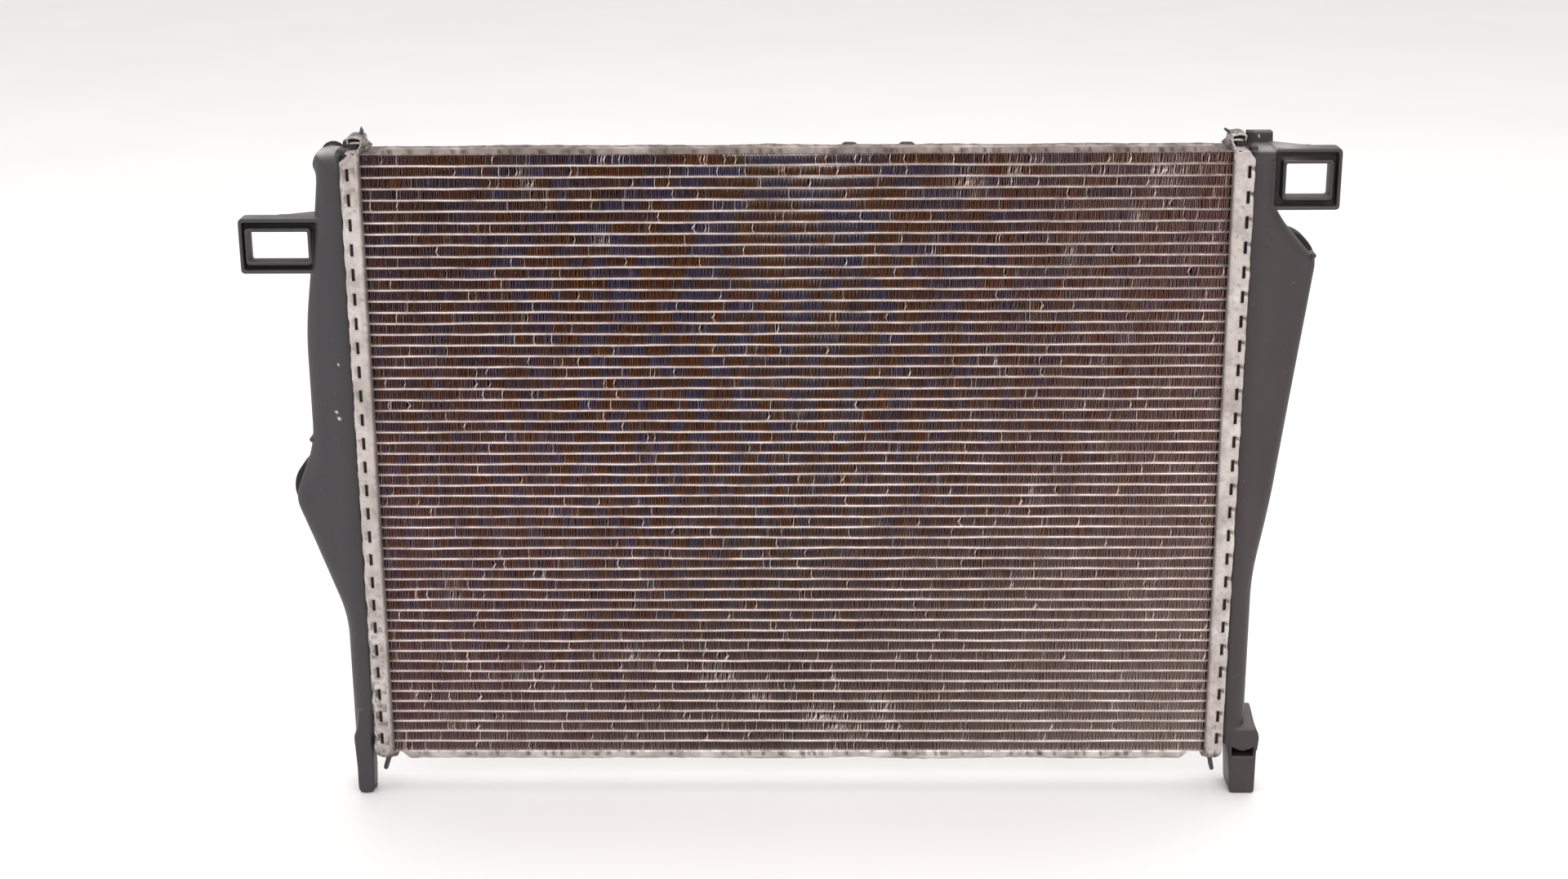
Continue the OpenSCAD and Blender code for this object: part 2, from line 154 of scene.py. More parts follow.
def wobble(t, seed, length, count=6):
    """A smooth random line along t, within about -1 to 1, with waves around the given length."""
    draw = np.random.default_rng(seed)
    total = np.zeros_like(np.asarray(t, float))
    for share in np.linspace(0.35, 1.8, count):
        wave = length * share * draw.uniform(0.85, 1.15)
        total = total + math.sqrt(share) * np.sin(2 * math.pi * (t / wave + draw.random()))
    return total / math.sqrt(count * 1.2)


def bump(t, half, soft):
    """1 within half of zero, falling smoothly to 0 over the distance soft."""
    k = unit((half + soft - np.abs(t)) / soft)
    return k * k * (3 - 2 * k)


def swept(profile, rows):
    """A profile's two coordinates repeated on every row of a grid, and the way into the sheet at its points."""
    one, two = np.array(profile, float).T
    way_one, way_two = np.gradient(one), np.gradient(two)
    size = np.hypot(way_one, way_two)
    return np.tile(one, (rows, 1)), np.tile(two, (rows, 1)), way_two / size, -way_one / size


def sheet_solid(points, inward, keep, grime_and_shade, inner_grime):
    """A closed sheet from a grid of points (rows, columns, 3): both faces, and walls round every free edge."""
    rows, columns = points.shape[:2]
    n = rows * columns
    both = np.concatenate([points.reshape(-1, 3), (points + inward).reshape(-1, 3)])
    dirt_and_painted_light = np.concatenate([unit(grime_and_shade).ravel(), np.full(n, inner_grime)])
    quads = grid_quads(rows, columns)[keep.ravel()]
    edges = np.concatenate([quads[:, [k, (k + 1) % 4]] for k in range(4)])
    pairs = dict.fromkeys(map(tuple, edges.tolist()))
    free = np.array([(a, b) for a, b in pairs if (b, a) not in pairs])
    walls = np.stack([free[:, 1], free[:, 0], free[:, 0] + n, free[:, 1] + n], -1)
    faces = np.concatenate([quads, quads[:, ::-1] + n, walls])
    used = np.unique(faces)
    renumber = np.full(2 * n, -1)
    renumber[used] = np.arange(len(used))
    return both[used], renumber[faces], dirt_and_painted_light[used]


# ---------- solid shapes as distances, turned into meshes ----------

def ball_join(a, b):
    return np.hypot(np.maximum(a, 0), np.maximum(b, 0)) + np.minimum(np.maximum(a, b), 0)


def solid_box(p, low, high, edge=0.0):
    a, b, c = (np.abs(p[i] - (low[i] + high[i]) / 2) - (high[i] - low[i]) / 2 + edge for i in range(3))
    return ball_join(ball_join(a, b), c) - edge


def solid_rod(p, at, y0, y1, r, edge=0.0):
    """A cylinder along y with rounded ends."""
    radial = np.hypot(p[0] - at[0], p[2] - at[1]) - r + edge
    return ball_join(radial, np.abs(p[1] - (y0 + y1) / 2) - (y1 - y0) / 2 + edge) - edge


def rectangle(x0, x1, z0, z1, rounding, top_right=None):
    """Corners of a rectangle, rounded alike but for the one at (x1, z1), which may differ."""
    return [(x0, z0, rounding), (x1, z0, rounding), (x1, z1, top_right or rounding), (x0, z1, rounding)]


def rounded(corners, steps=6):
    """An outline from corners (x, z) or (x, z, rounding): each rounded corner becomes a short curve."""
    out = []
    n = len(corners)
    for i, (x, z, *cut_back) in enumerate(corners):
        if not cut_back:
            out.append((x, z))
            continue
        at = np.array([x, z], float)
        legs = [np.array(corners[(i + s) % n][:2], float) - at for s in (-1, 1)]
        start, end = (at + cut_back[0] * leg / np.linalg.norm(leg) for leg in legs)
        for k in range(steps + 1):
            t = k / steps
            out.append(tuple((1 - t) ** 2 * start + 2 * t * (1 - t) * at + t * t * end))
    return out


def flat_outline(x, z, corners):
    """Signed distance to a polygon with rounded corners, negative inside."""
    corners = rounded(corners)
    distance = np.full(np.broadcast(x, z).shape, 1e9)
    inside = np.zeros(distance.shape, bool)
    for (ax, az), (bx, bz) in zip(corners, corners[1:] + corners[:1]):
        dx, dz = bx - ax, bz - az
        t = unit(((x - ax) * dx + (z - az) * dz) / (dx * dx + dz * dz))
        distance = np.minimum(distance, np.hypot(x - ax - t * dx, z - az - t * dz))
        inside ^= ((az > z) != (bz > z)) & (x < ax + (z - az) * dx / (dz if dz else 1e-9))
    return np.where(inside, -distance, distance)


def solid_slab(flat, y, y0, y1, edge=0.0):
    """A flat shape's distance, carried along y from y0 to y1, with rounded edges."""
    return ball_join(flat + edge, np.abs(y - (y0 + y1) / 2) - (y1 - y0) / 2 + edge) - edge


def slab(p, corners, y0, y1, edge=0.0):
    return solid_slab(flat_outline(p[0], p[2], corners), p[1], y0, y1, edge)


def join(a, b, fillet=0.0):
    if fillet == 0:
        return np.minimum(a, b)
    h = unit(0.5 + 0.5 * (b - a) / fillet)
    return b + (a - b) * h - fillet * h * (1 - h)


def cut(a, b, fillet=0.0):
    return -join(-a, b, fillet)


def add(body, *parts):
    """Join (shape, fillet) pairs onto the body, one after another."""
    for shape, fillet in parts:
        body = join(body, shape, fillet)
    return body


def skin(distance, low, high, step):
    """The surface where distance(p) is zero, as points and quads: one point per grid cell that it crosses."""
    axes = [np.arange(low[i], high[i] + step, step) for i in range(3)]
    field = distance((axes[0][:, None, None], axes[1][None, :, None], axes[2][None, None, :]))
    field = np.broadcast_to(field, [len(a) for a in axes])
    inside = field < 0
    cells = np.array(field.shape) - 1
    corner_count = np.zeros(cells, np.int8)
    offsets = [(a, b, c) for a in (0, 1) for b in (0, 1) for c in (0, 1)]
    for a, b, c in offsets:
        corner_count += inside[a:a + cells[0], b:b + cells[1], c:c + cells[2]]
    active = np.argwhere((corner_count > 0) & (corner_count < 8))
    number = np.full(cells, -1, np.int64)
    number[tuple(active.T)] = np.arange(len(active))
    value = {o: field[tuple((active + o).T)] for o in offsets}
    total = np.zeros((len(active), 3))
    crossings = np.zeros(len(active))
    for axis in range(3):
        for o in offsets:
            if o[axis]:
                continue
            far = tuple(v + (k == axis) for k, v in enumerate(o))
            a, b = value[o], value[far]
            hit = (a < 0) != (b < 0)
            point = np.tile(np.array(o, float), (len(active), 1))
            point[:, axis] += np.where(hit, a / np.where(hit, a - b, 1), 0)
            total += point * hit[:, None]
            crossings += hit
    points = (active + total / crossings[:, None]) * step + np.array([a[0] for a in axes])
    quads = []
    for axis in range(3):
        one, two = [(1, 2), (2, 0), (0, 1)][axis]
        lower = [slice(1, -1)] * 3
        lower[axis] = slice(0, -1)
        upper = list(lower)
        upper[axis] = slice(1, None)
        a, b = inside[tuple(lower)], inside[tuple(upper)]
        for going_out in (True, False):
            at = np.argwhere((a & ~b) if going_out else (~a & b))
            at += [0 if k == axis else 1 for k in range(3)]
            ring = []
            for s, t in ((1, 1), (0, 1), (0, 0), (1, 0)):
                cell = at.copy()
                cell[:, one] -= s
                cell[:, two] -= t
                ring.append(number[tuple(cell.T)])
            quads.append(np.stack(ring if going_out else ring[::-1], -1))
    for _ in range(3):
        points = points - pull(distance, points, step)
    return points, np.concatenate(quads)


def pull(distance, points, step):
    """How far to move each point back onto the surface."""
    h = 0.05
    here = distance(tuple(points.T))
    slope = np.empty_like(points)
    for axis in range(3):
        near, far = points.copy(), points.copy()
        near[:, axis] -= h
        far[:, axis] += h
        slope[:, axis] = (distance(tuple(far.T)) - distance(tuple(near.T))) / (2 * h)
    size = np.maximum((slope ** 2).sum(1), 0.25)
    return np.clip(slope * (here / size)[:, None], -0.4 * step, 0.4 * step)


# ---------- materials ----------

class Look:
    """A material and its node tree. Each method adds nodes and gives back the socket that comes out of them."""

    def __init__(self, name):
        self.material = bpy.data.materials.new(name)
        self.material.use_nodes = True
        self.tree = self.material.node_tree
        self.shader = self.tree.nodes["Principled BSDF"]

    def fill(self, made, inputs):
        """Link each input to a socket, or give it a value."""
        for key, value in inputs.items():
            socket = made.inputs[key]
            if isinstance(value, bpy.types.NodeSocket):
                self.tree.links.new(value, socket)
            else:
                socket.default_value = (*value, 1) if socket.type == "RGBA" else value

    def node(self, kind, inputs, **settings):
        made = self.tree.nodes.new(kind)
        for key, value in settings.items():
            setattr(made, key, value)
        self.fill(made, inputs)
        return made

    def noise(self, scale, detail=4.0, roughness=0.55, stretch=(1, 1, 1), distortion=0.0):
        """Noise in the row frame: scale is in waves per metre, and stretch squeezes it along an axis."""
        where = self.node("ShaderNodeTexCoord", {}).outputs["Object"]
        squeezed = self.node("ShaderNodeMapping", {"Vector": where, "Scale": stretch}).outputs["Vector"]
        made = self.node("ShaderNodeTexNoise", {"Vector": squeezed, "Scale": scale, "Detail": detail,
                                                "Roughness": roughness, "Distortion": distortion})
        return made.outputs["Fac"]

    def ramp(self, source, *stops):
        """A colour or grey ramp from (position, colour) stops."""
        made = self.node("ShaderNodeValToRGB", {"Fac": source})
        while len(made.color_ramp.elements) < len(stops):
            made.color_ramp.elements.new(0.5)
        for element, (position, colour) in zip(made.color_ramp.elements, stops):
            element.position = position
            element.color = (*colour, 1) if isinstance(colour, tuple) else (colour, colour, colour, 1)
        return made.outputs["Color"]

    def mix(self, share, one, two):
        return self.node("ShaderNodeMix", {0: share, 6: one, 7: two}, data_type="RGBA").outputs[2]

    def times(self, one, two, clamp=False):
        return self.node("ShaderNodeMath", {0: one, 1: two}, operation="MULTIPLY", use_clamp=clamp).outputs[0]

    def plus(self, one, two):
        return self.node("ShaderNodeMath", {0: one, 1: two}, operation="ADD", use_clamp=True).outputs[0]

    def layer(self, name):
        return self.node("ShaderNodeAttribute", {}, attribute_name=name).outputs["Fac"]

    def facing_up(self, low, high):
        """0 to 1 as the surface turns to face up."""
        normal = self.node("ShaderNodeNewGeometry", {}).outputs["Normal"]
        height = self.node("ShaderNodeSeparateXYZ", {0: normal}).outputs["Z"]
        scaled = self.node("ShaderNodeMapRange", {"Value": height, "From Min": low, "From Max": high})
        return scaled.outputs["Result"]

    def bumps(self, *layers):
        """Bump from (height, strength, distance) layers, one on another."""
        inputs = {}
        for height, strength, distance in layers:
            inputs.update({"Height": height, "Strength": strength, "Distance": distance})
            inputs["Normal"] = self.node("ShaderNodeBump", inputs).outputs["Normal"]
        self.fill(self.shader, {"Normal": inputs["Normal"]})

    def finish(self, base, roughness, **values):
        """Set the shader's colour, roughness and other values, and give back the material."""
        values = {key.replace("_", " "): value for key, value in values.items()}
        self.fill(self.shader, {"Base Color": base, "Roughness": roughness, **values})
        return self.material


def scaled_colour(colour, share):
    return tuple(share * c for c in colour)


def plastic_material(name, shade):
    """Glass-filled nylon: moulded grain, faint flow streaks, dust on what faces up, dark soiling in corners, and
    painted shade in recesses, slots and gaps from its darkening layer.
    """
    look = Look(name)
    darker, lighter = scaled_colour(shade, 0.84), scaled_colour(shade, 1.16)
    base = look.ramp(look.noise(9, 5, 0.6), (0.25, darker), (0.75, lighter))
    streaks = look.ramp(look.noise(40, 3, 0.5, (1, 1, 0.12)), (0.55, 0.0), (0.8, 0.10))
    base = look.mix(streaks, base, (0.10, 0.095, 0.095))
    specks = look.ramp(look.noise(420, 2, 0.5), (0.71, 0.0), (0.77, 0.35))
    base = look.mix(specks, base, (0.16, 0.15, 0.145))
    patchy = look.ramp(look.noise(55, 4), (0.3, 0.45), (0.7, 1.0))
    base = look.mix(look.times(look.facing_up(0.3, 0.95), look.times(patchy, 0.4)), base, (0.17, 0.155, 0.15))
    dust = look.times(look.times(look.layer("dust"), look.facing_up(0.35, 0.92)), patchy, True)
    base = look.mix(dust, base, (0.40, 0.365, 0.345))
    # this layer darkens towards near black: real soiling, and painted shade where the tank masks put it
    base = look.mix(look.layer("dirt_and_painted_light"), base, (0.014, 0.010, 0.010))
    base = look.mix(look.layer("paint"), base, (0.62, 0.58, 0.55))
    rough = look.ramp(look.noise(30, 4), (0.3, 0.38), (0.7, 0.52))
    dull = look.times(look.plus(look.layer("dirt_and_painted_light"), dust), 0.4)
    look.bumps((look.noise(2600, 2), 0.25, 0.00012), (look.noise(60, 3), 0.12, 0.0012))
    return look.finish(base, look.plus(rough, dull), Specular_IOR_Level=0.4)


def aluminium_material(name, clean, stained, spots=0.5):
    """Bare aluminium sheet, dulled and stained, darkened where its layer says: real stains and painted shade."""
    look = Look(name)
    base = look.ramp(look.noise(26, 6, 0.62, distortion=0.6), (0.36, stained), (0.62, clean))
    blotches = look.ramp(look.noise(95, 5, 0.65), (0.52, 0.0), (0.72, spots))
    base = look.mix(blotches, base, scaled_colour(stained, 0.6))
    flecks = look.ramp(look.noise(330, 3, 0.6), (0.60, 0.0), (0.70, 0.8 * spots))
    base = look.mix(flecks, base, scaled_colour(stained, 0.42))
    uneven = look.ramp(look.noise(240, 4, 0.6), (0.25, 0.5), (0.6, 1.0))
    grime_and_shade = look.times(look.layer("dirt_and_painted_light"), uneven, True)
    base = look.mix(grime_and_shade, base, (0.050, 0.034, 0.028))
    worn = look.ramp(look.noise(80, 4), (0.3, 0.34), (0.7, 0.52))
    look.bumps((look.noise(1100, 3), 0.35, 0.00015), (look.noise(120, 4), 0.25, 0.0006))
    return look.finish(base, look.plus(worn, look.times(grime_and_shade, 0.35)), Metallic=0.75)


def fin_material():
    """Thin fin sheet, brown with road stains in patches of brown, mauve and navy; greyer where dust and painted
    light lie, darker where painted shade lies, and pale painted glints on the legs' front edges.
    """
    look = Look("fin_sheet")
    patches = look.ramp(look.layer("tint"), (0.0, (0.195, 0.148, 0.285)), (0.25, (0.21, 0.122, 0.172)),
                        (0.5, (0.243, 0.108, 0.095)), (0.75, (0.285, 0.105, 0.054)), (1.0, (0.345, 0.105, 0.020)))
    dust_and_painted_light = look.mix(look.layer("dust_and_painted_light"), patches, (0.50, 0.395, 0.358))
    # below 0 the layer gives painted shade, darkening the fins high up at the left
    dust_and_painted_light = look.mix(look.times(look.layer("dust_and_painted_light"), -1.0, True), dust_and_painted_light, (0.03, 0.02, 0.02))
    fine = look.ramp(look.noise(500, 3, 0.6, (1, 1, 0.35)), (0.42, 0.0), (0.78, 0.35))
    base = look.mix(fine, dust_and_painted_light, look.mix(0.5, dust_and_painted_light, (0.62, 0.49, 0.45)))
    flecks = look.ramp(look.noise(750, 3, 0.55), (0.635, 0.0), (0.71, 0.6))
    base = look.mix(flecks, base, (0.80, 0.70, 0.66))
    # painted highlight: this layer is the glint on the legs' front edges, mixed towards a pale colour
    base = look.mix(look.layer("dirt_and_painted_light"), base, (0.95, 0.84, 0.79))
    return look.finish(base, 0.55, Metallic=0.3, Specular_IOR_Level=0.15)


def rubber_material():
    look = Look("rubber")
    base = look.ramp(look.noise(180, 4), (0.3, (0.028, 0.026, 0.025)), (0.7, (0.065, 0.06, 0.058)))
    look.bumps((look.noise(900, 3), 0.3, 0.0002))
    return look.finish(base, 0.7)


# a look is a material and the name of its slot
LEFT_PLASTIC = plastic_material("tank_plastic_left", (0.030, 0.0275, 0.0305)), "tank_plastic"
RIGHT_PLASTIC = plastic_material("tank_plastic_right", (0.0325, 0.0235, 0.026)), "tank_plastic"
PLUG_PLASTIC = plastic_material("plug_plastic", (0.024, 0.023, 0.024))
TUBE_METAL = aluminium_material("tube_aluminium", (0.60, 0.53, 0.50), (0.37, 0.30, 0.275)), "tube_aluminium"
HEADER_METAL = (aluminium_material("header_aluminium", (0.555, 0.50, 0.48), (0.38, 0.325, 0.305), 0.62),
                "header_aluminium")
# painted shade: the top plate gets a much darker copy of the plate aluminium than the bottom plate
SHADED_TOP_METAL = (aluminium_material("top_plate_aluminium_painted_shade", (0.31, 0.262, 0.244), (0.18, 0.14, 0.127)),
             "side_plate_aluminium")
BOTTOM_METAL = (aluminium_material("bottom_plate_aluminium", (0.60, 0.55, 0.53), (0.37, 0.32, 0.305)),
                "side_plate_aluminium")
FIN_SHEET = fin_material(), "fin_aluminium"
RUBBER = rubber_material(), "gasket_rubber"


# ---------- core ----------

def tube_z(index, x):
    """Height of a tube's middle line at x: an even pitch, a little uneven as brazed."""
    level = (index - (TUBE_COUNT - 1) / 2) * PITCH
    edge = unit((HALF_W - np.abs(x)) / 30)
    return level + edge * (0.22 * wobble(x, 100 + index, 170) + 0.08 * wobble(x, 300 + index, 35))


def flat_tube(index):
    """One closed flat tube: rows of points along x, each a stadium in y and z."""
    x = np.linspace(-HALF_W - TUBE_END, HALF_W + TUBE_END, 97)
    turn = np.concatenate([np.linspace(-90, 90, 7), np.linspace(90, 270, 7)]) * math.pi / 180
    middle = np.where(np.arange(14) < 7, 1, -1) * (CORE_D - TUBE_H) / 2
    points = np.empty((len(x), 14, 3))
    points[..., 0] = x[:, None]
    points[..., 1] = middle + TUBE_H / 2 * np.cos(turn)
    points[..., 2] = tube_z(index, x)[:, None] + TUBE_H / 2 * np.sin(turn)
    ends = [list(range(14)), [13 - k + 14 * (len(x) - 1) for k in range(14)]]
    # painted shade: the tubes are painted darker high up and towards the right
    upper = max(0, (index + 0.5) / TUBE_COUNT - 0.45)
    grime_and_shade = np.clip(0.35 * wobble(x, 700 + index, 60) - 0.25, 0, 0.5) + 0.9 * upper * (0.6 + 0.5 * x / HALF_W)
    # painted shade: the tubes darken where they meet the header plates
    grime_and_shade = grime_and_shade + 0.7 * bump(np.abs(x) - HALF_W, 1.0, 1.8)
    return points.reshape(-1, 3), grid_quads(len(x), 14, True)[:, ::-1], ends, [np.repeat(grime_and_shade, 14)]


# where a strip's legs were knocked over, as (x, row counted from the top, radius, strength)
KNOCKS = [(-185, 2, 6, 1.0), (-135, 7, 7, 0.8), (118, 2, 12, 0.9), (150, 1, 6, 1.0), (255, 1, 14, 1.0),
          (236, 5, 6, 0.7), (-60, 48, 14, 0.8), (-30, 50, 10, 0.9), (15, 52, 14, 1.0), (35, 53, 16, 0.9),
          (-120, 46, 10, 0.7), (60, 51, 9, 0.8), (170, 30, 5, 0.8), (190, 8, 5, 0.7), (-250, 40, 6, 0.7)]


def fin_row_limits(row, x):
    """The upper face of what is below a fin row, and the lower face of what is above it."""
    below = tube_z(row - 1, x) + TUBE_H / 2 if row > 0 else np.full_like(x, -STACK_TOP)
    above = tube_z(row, x) - TUBE_H / 2 if row < TUBE_COUNT else np.full_like(x, STACK_TOP)
    return below, above


def fin_tint(row, x):
    """Which stain colour a leg has (0 navy, 0.5 mauve, 1 brown), and how much dust it has, with painted light that
    grows towards the right and low down; below 0 it is painted shade, high up at the left.

    The patches are long and strong high up, left of the middle, and short and faint low down and at the right.
    """
    level = (row + 0.5) / (TUBE_COUNT + 1)
    across = x / HALF_W
    length = 17 + 75 * math.exp(-(TUBE_COUNT - row) / 8)
    patches = np.tanh(1.5 * wobble(x, 8000 + row, length)) + 0.3 * wobble(x, 8200 + row, 12)
    contrast = 0.16 + 0.84 * np.exp(-((across + 0.15) / 0.62) ** 2 - ((1 - level) / 0.7) ** 2)
    tint = 0.5 - 0.10 * unit(-across) * unit(1.2 - level) + 0.68 * contrast * patches
    # dust, and painted light that grows towards the right and low down
    dust_and_painted_light = 0.10 + 0.24 * across - 0.5 * (level - 0.5) + 1.2 * (level - 0.5) ** 2 + 0.30 * across * (0.5 - level)
    dust_and_painted_light = dust_and_painted_light + 0.08 * wobble(x, 8400 + row, 80) + 0.06 * wobble(x, 8600 + row, 20)
    # painted shade: fins high up at the left are darkened
    painted_shade_high_left = unit((level - 0.5) / 0.4) * unit(0.2 - 0.32 * across)
    return unit(tint), np.clip(dust_and_painted_light - painted_shade_high_left, -1, 1)


def fin_wear(row, x):
    """Per leg: how far it is bent along x and pushed in along y, how bright its front edge's painted glint is, its
    tint, and its dust with painted light.
    """
    draw = np.random.default_rng(4000 + row)
    count = len(x)
    x = x + draw.normal(0, 0.10, count)
    lean = draw.normal(0, 0.10, count)
    strength = 0.30 + 0.25 * np.clip(wobble(x, 5000 + row, 90), 0, 2)
    bend = draw.normal(0, 1, count) * 0.28 * strength
    push = np.abs(draw.normal(0, 0.25, count)) * strength
    shine = np.clip(draw.normal(-0.35, 0.28, count), 0, 0.8) * 0.7
    many = 0.10 * math.exp(-(TUBE_COUNT - row) / 2.5) + 0.09 * math.exp(-row / 8) * bump(x + 120, 190, 90)
    strays = draw.random(count) < 0.022 + many * np.clip(0.6 + wobble(x, 4500 + row, 40), 0, 2)
    bend = bend + strays * draw.normal(0, 0.9, count)
    tint, dust_and_painted_light = fin_tint(row, x)
    tint = unit(tint + draw.normal(0, 0.05, count))
    dust_and_painted_light = np.clip(dust_and_painted_light + draw.normal(0, 0.10, count), -1, 1)
    shine = np.where(strays, draw.uniform(0.4, 1.0, count), shine)
    for knock_x, knock_row, radius, force in KNOCKS:
        rows_away = abs(TUBE_COUNT - row - knock_row)
        near = bump(x - knock_x, radius * 0.4, radius) * max(0, 1 - rows_away / 1.6) * force
        bend = bend + near * (0.5 + draw.normal(0, 0.8, count))
        push = push + near * draw.uniform(0, 1.6, count)
        shine = np.maximum(shine, near * draw.uniform(0.1, 1.0, count))
    return x, lean, bend, push, shine, tint, dust_and_painted_light


def there_and_back(values):
    """Values along a strip's one face and back along the other."""
    return np.concatenate([values, values[::-1]])


def fin_strip(row):
    """One corrugated strip: legs that go up and down between two tubes, with a sheet's thickness."""
    count = int((2 * HALF_W - 1.5) / FIN_LEG)
    x, lean, *wear = fin_wear(row, (np.arange(count) - (count - 1) / 2) * FIN_LEG)
    bend, push, shine, tint, dust_and_painted_light = (np.repeat(v, 3) for v in wear)
    below, above = fin_row_limits(row, x)
    # each leg has three points, going up in one leg and down in the next
    going_up = (np.arange(count) % 2 == 0)[:, None]
    level = np.array([0.02, 0.5, 0.98])
    order = np.where(going_up, level, level[::-1])
    flank = np.where(going_up, 1, -1) * np.array([-0.12, 0, 0.12])
    path_x = (x[:, None] + flank + lean[:, None] * (order - 0.5)).ravel()
    path_z = (below[:, None] + (above - below)[:, None] * order).ravel()
    middle = (1 - np.abs(order - 0.5) * 1.7).ravel()
    way_x, way_z = np.gradient(path_x), np.gradient(path_z)
    size = np.hypot(way_x, way_z)
    off_x, off_z = -way_z / size * FIN_T / 2, way_x / size * FIN_T / 2
    half, rim = FIN_DEPTH / 2, FIN_DEPTH / 2 - 2.2
    rings = []
    bright = []
    for y, share in ((-half, 1.0), (-rim, 0.3), (rim, -0.15), (half, -0.5)):
        in_x = path_x + bend * middle * share
        in_y = np.where(share > 0, push * middle * share, 0) + y
        one = np.stack([in_x + off_x, in_y, path_z + off_z], -1)
        two = np.stack([in_x - off_x, in_y, path_z - off_z], -1)
        rings.append(np.concatenate([one, two[::-1]]))
        # painted highlight: the glint is strongest on the front ring
        bright.append(there_and_back(shine * max(share, 0) ** 2))
    points = np.concatenate(rings)
    points[:, 0] = np.clip(points[:, 0], -HALF_W + 0.2, HALF_W - 0.2)
    n = len(path_x)
    i = np.arange(n - 1)
    cap = np.stack([i, 2 * n - 1 - i, 2 * n - 2 - i, i + 1], -1)
    quads = np.concatenate([grid_quads(len(rings), 2 * n, True), cap, cap[:, ::-1] + (len(rings) - 1) * 2 * n])
    # the patches belong to the front; the rear is a plainer, cleaner grey brown
    front_share = np.repeat([1.0, 1.0, 0.2, 0.2], 2 * n)
    tint, dust_and_painted_light = (np.tile(there_and_back(v), len(rings)) for v in (tint, dust_and_painted_light))
    tint = 0.5 + front_share * (tint - 0.5)
    dust_and_painted_light = front_share * dust_and_painted_light + (1 - front_share) * (0.25 + 0.5 * dust_and_painted_light)
    # the first layer is the painted glint on the legs' front edges
    return points, quads, [], [np.concatenate(bright), tint, dust_and_painted_light]


def bank(kind, number, size, strip, look, layer_names):
    """One piece from neighbouring tubes or fin strips: strip(index) gives (points, quads, ends, layers)."""
    points, quads, ends, layers = [], [], [], []
    start = 0
    for index in range((number - 1) * size, number * size):
        strip_points, strip_quads, strip_ends, strip_layers = strip(index)
        points.append(strip_points)
        quads.append(strip_quads + start)
        ends += [[k + start for k in end] for end in strip_ends]
        layers.append(strip_layers)
        start += len(strip_points)
    layers = dict(zip(layer_names, np.concatenate(layers, 1)))
    new_piece(f"{kind}s_{number}", np.concatenate(points), np.concatenate(quads), look,
              [f"{kind}_bank_{number}"], ends, layers)


# ---------- header plates ----------

def slot_levels():
    return (np.arange(SLOT_COUNT) - (SLOT_COUNT - 1) / 2) * SLOT_PITCH


def header_rows():
    """Levels of the header sheet's grid: fine near each slot."""
    half = SLOT_L / 2
    one_slot = np.array([-7.8, -6.6, -5.6, -4.7, -half, -3, -2, -1, 0, 1, 2, 3, half, 4.7, 5.6, 6.6, 7.8, 8.8])
    inner = (slot_levels()[:, None] + one_slot).ravel()
    rest = np.linspace(inner[-1], HEADER_TOP, 7)[1:]
    return np.concatenate([-rest[::-1], [-inner[-1]], inner, rest])


def header_profile():
    """The sheet's outer face from the front wall's free edge round to the rear wall's, as (u, y)."""
    d = HEADER_D / 2
    bend = HEADER_BEND
    wall = [HEADER_WALL, 13.0, 12.3, 11.6, 10.9, SLOT_OUT, SLOT_U, SLOT_IN, 7.2, 6.3, 5.4, 4.5, 3.6, WALL_START]
    front = [(u, -d) for u in wall]
    for turn in np.linspace(0, math.pi / 2, 6):
        front.append((bend - bend * math.sin(turn), -d + bend - bend * math.cos(turn)))
    floor = [(0.0, y) for y in np.linspace(-d + bend, d - bend, 9)[1:-1]]
    return front + floor + [(u, -y) for u, y in front[::-1]], len(wall)


def wall_shift(z, left):
    """How far out the slots and the free edge sit at level z: the right plate's wall leans a little."""
    lean = np.clip(z / 211, -1.1, 1.1)
    return (-0.95 + 0.15 * lean, 0.1 + 0 * lean) if left else (0.35 + 1.35 * lean, 0.05 + 0.95 * lean)


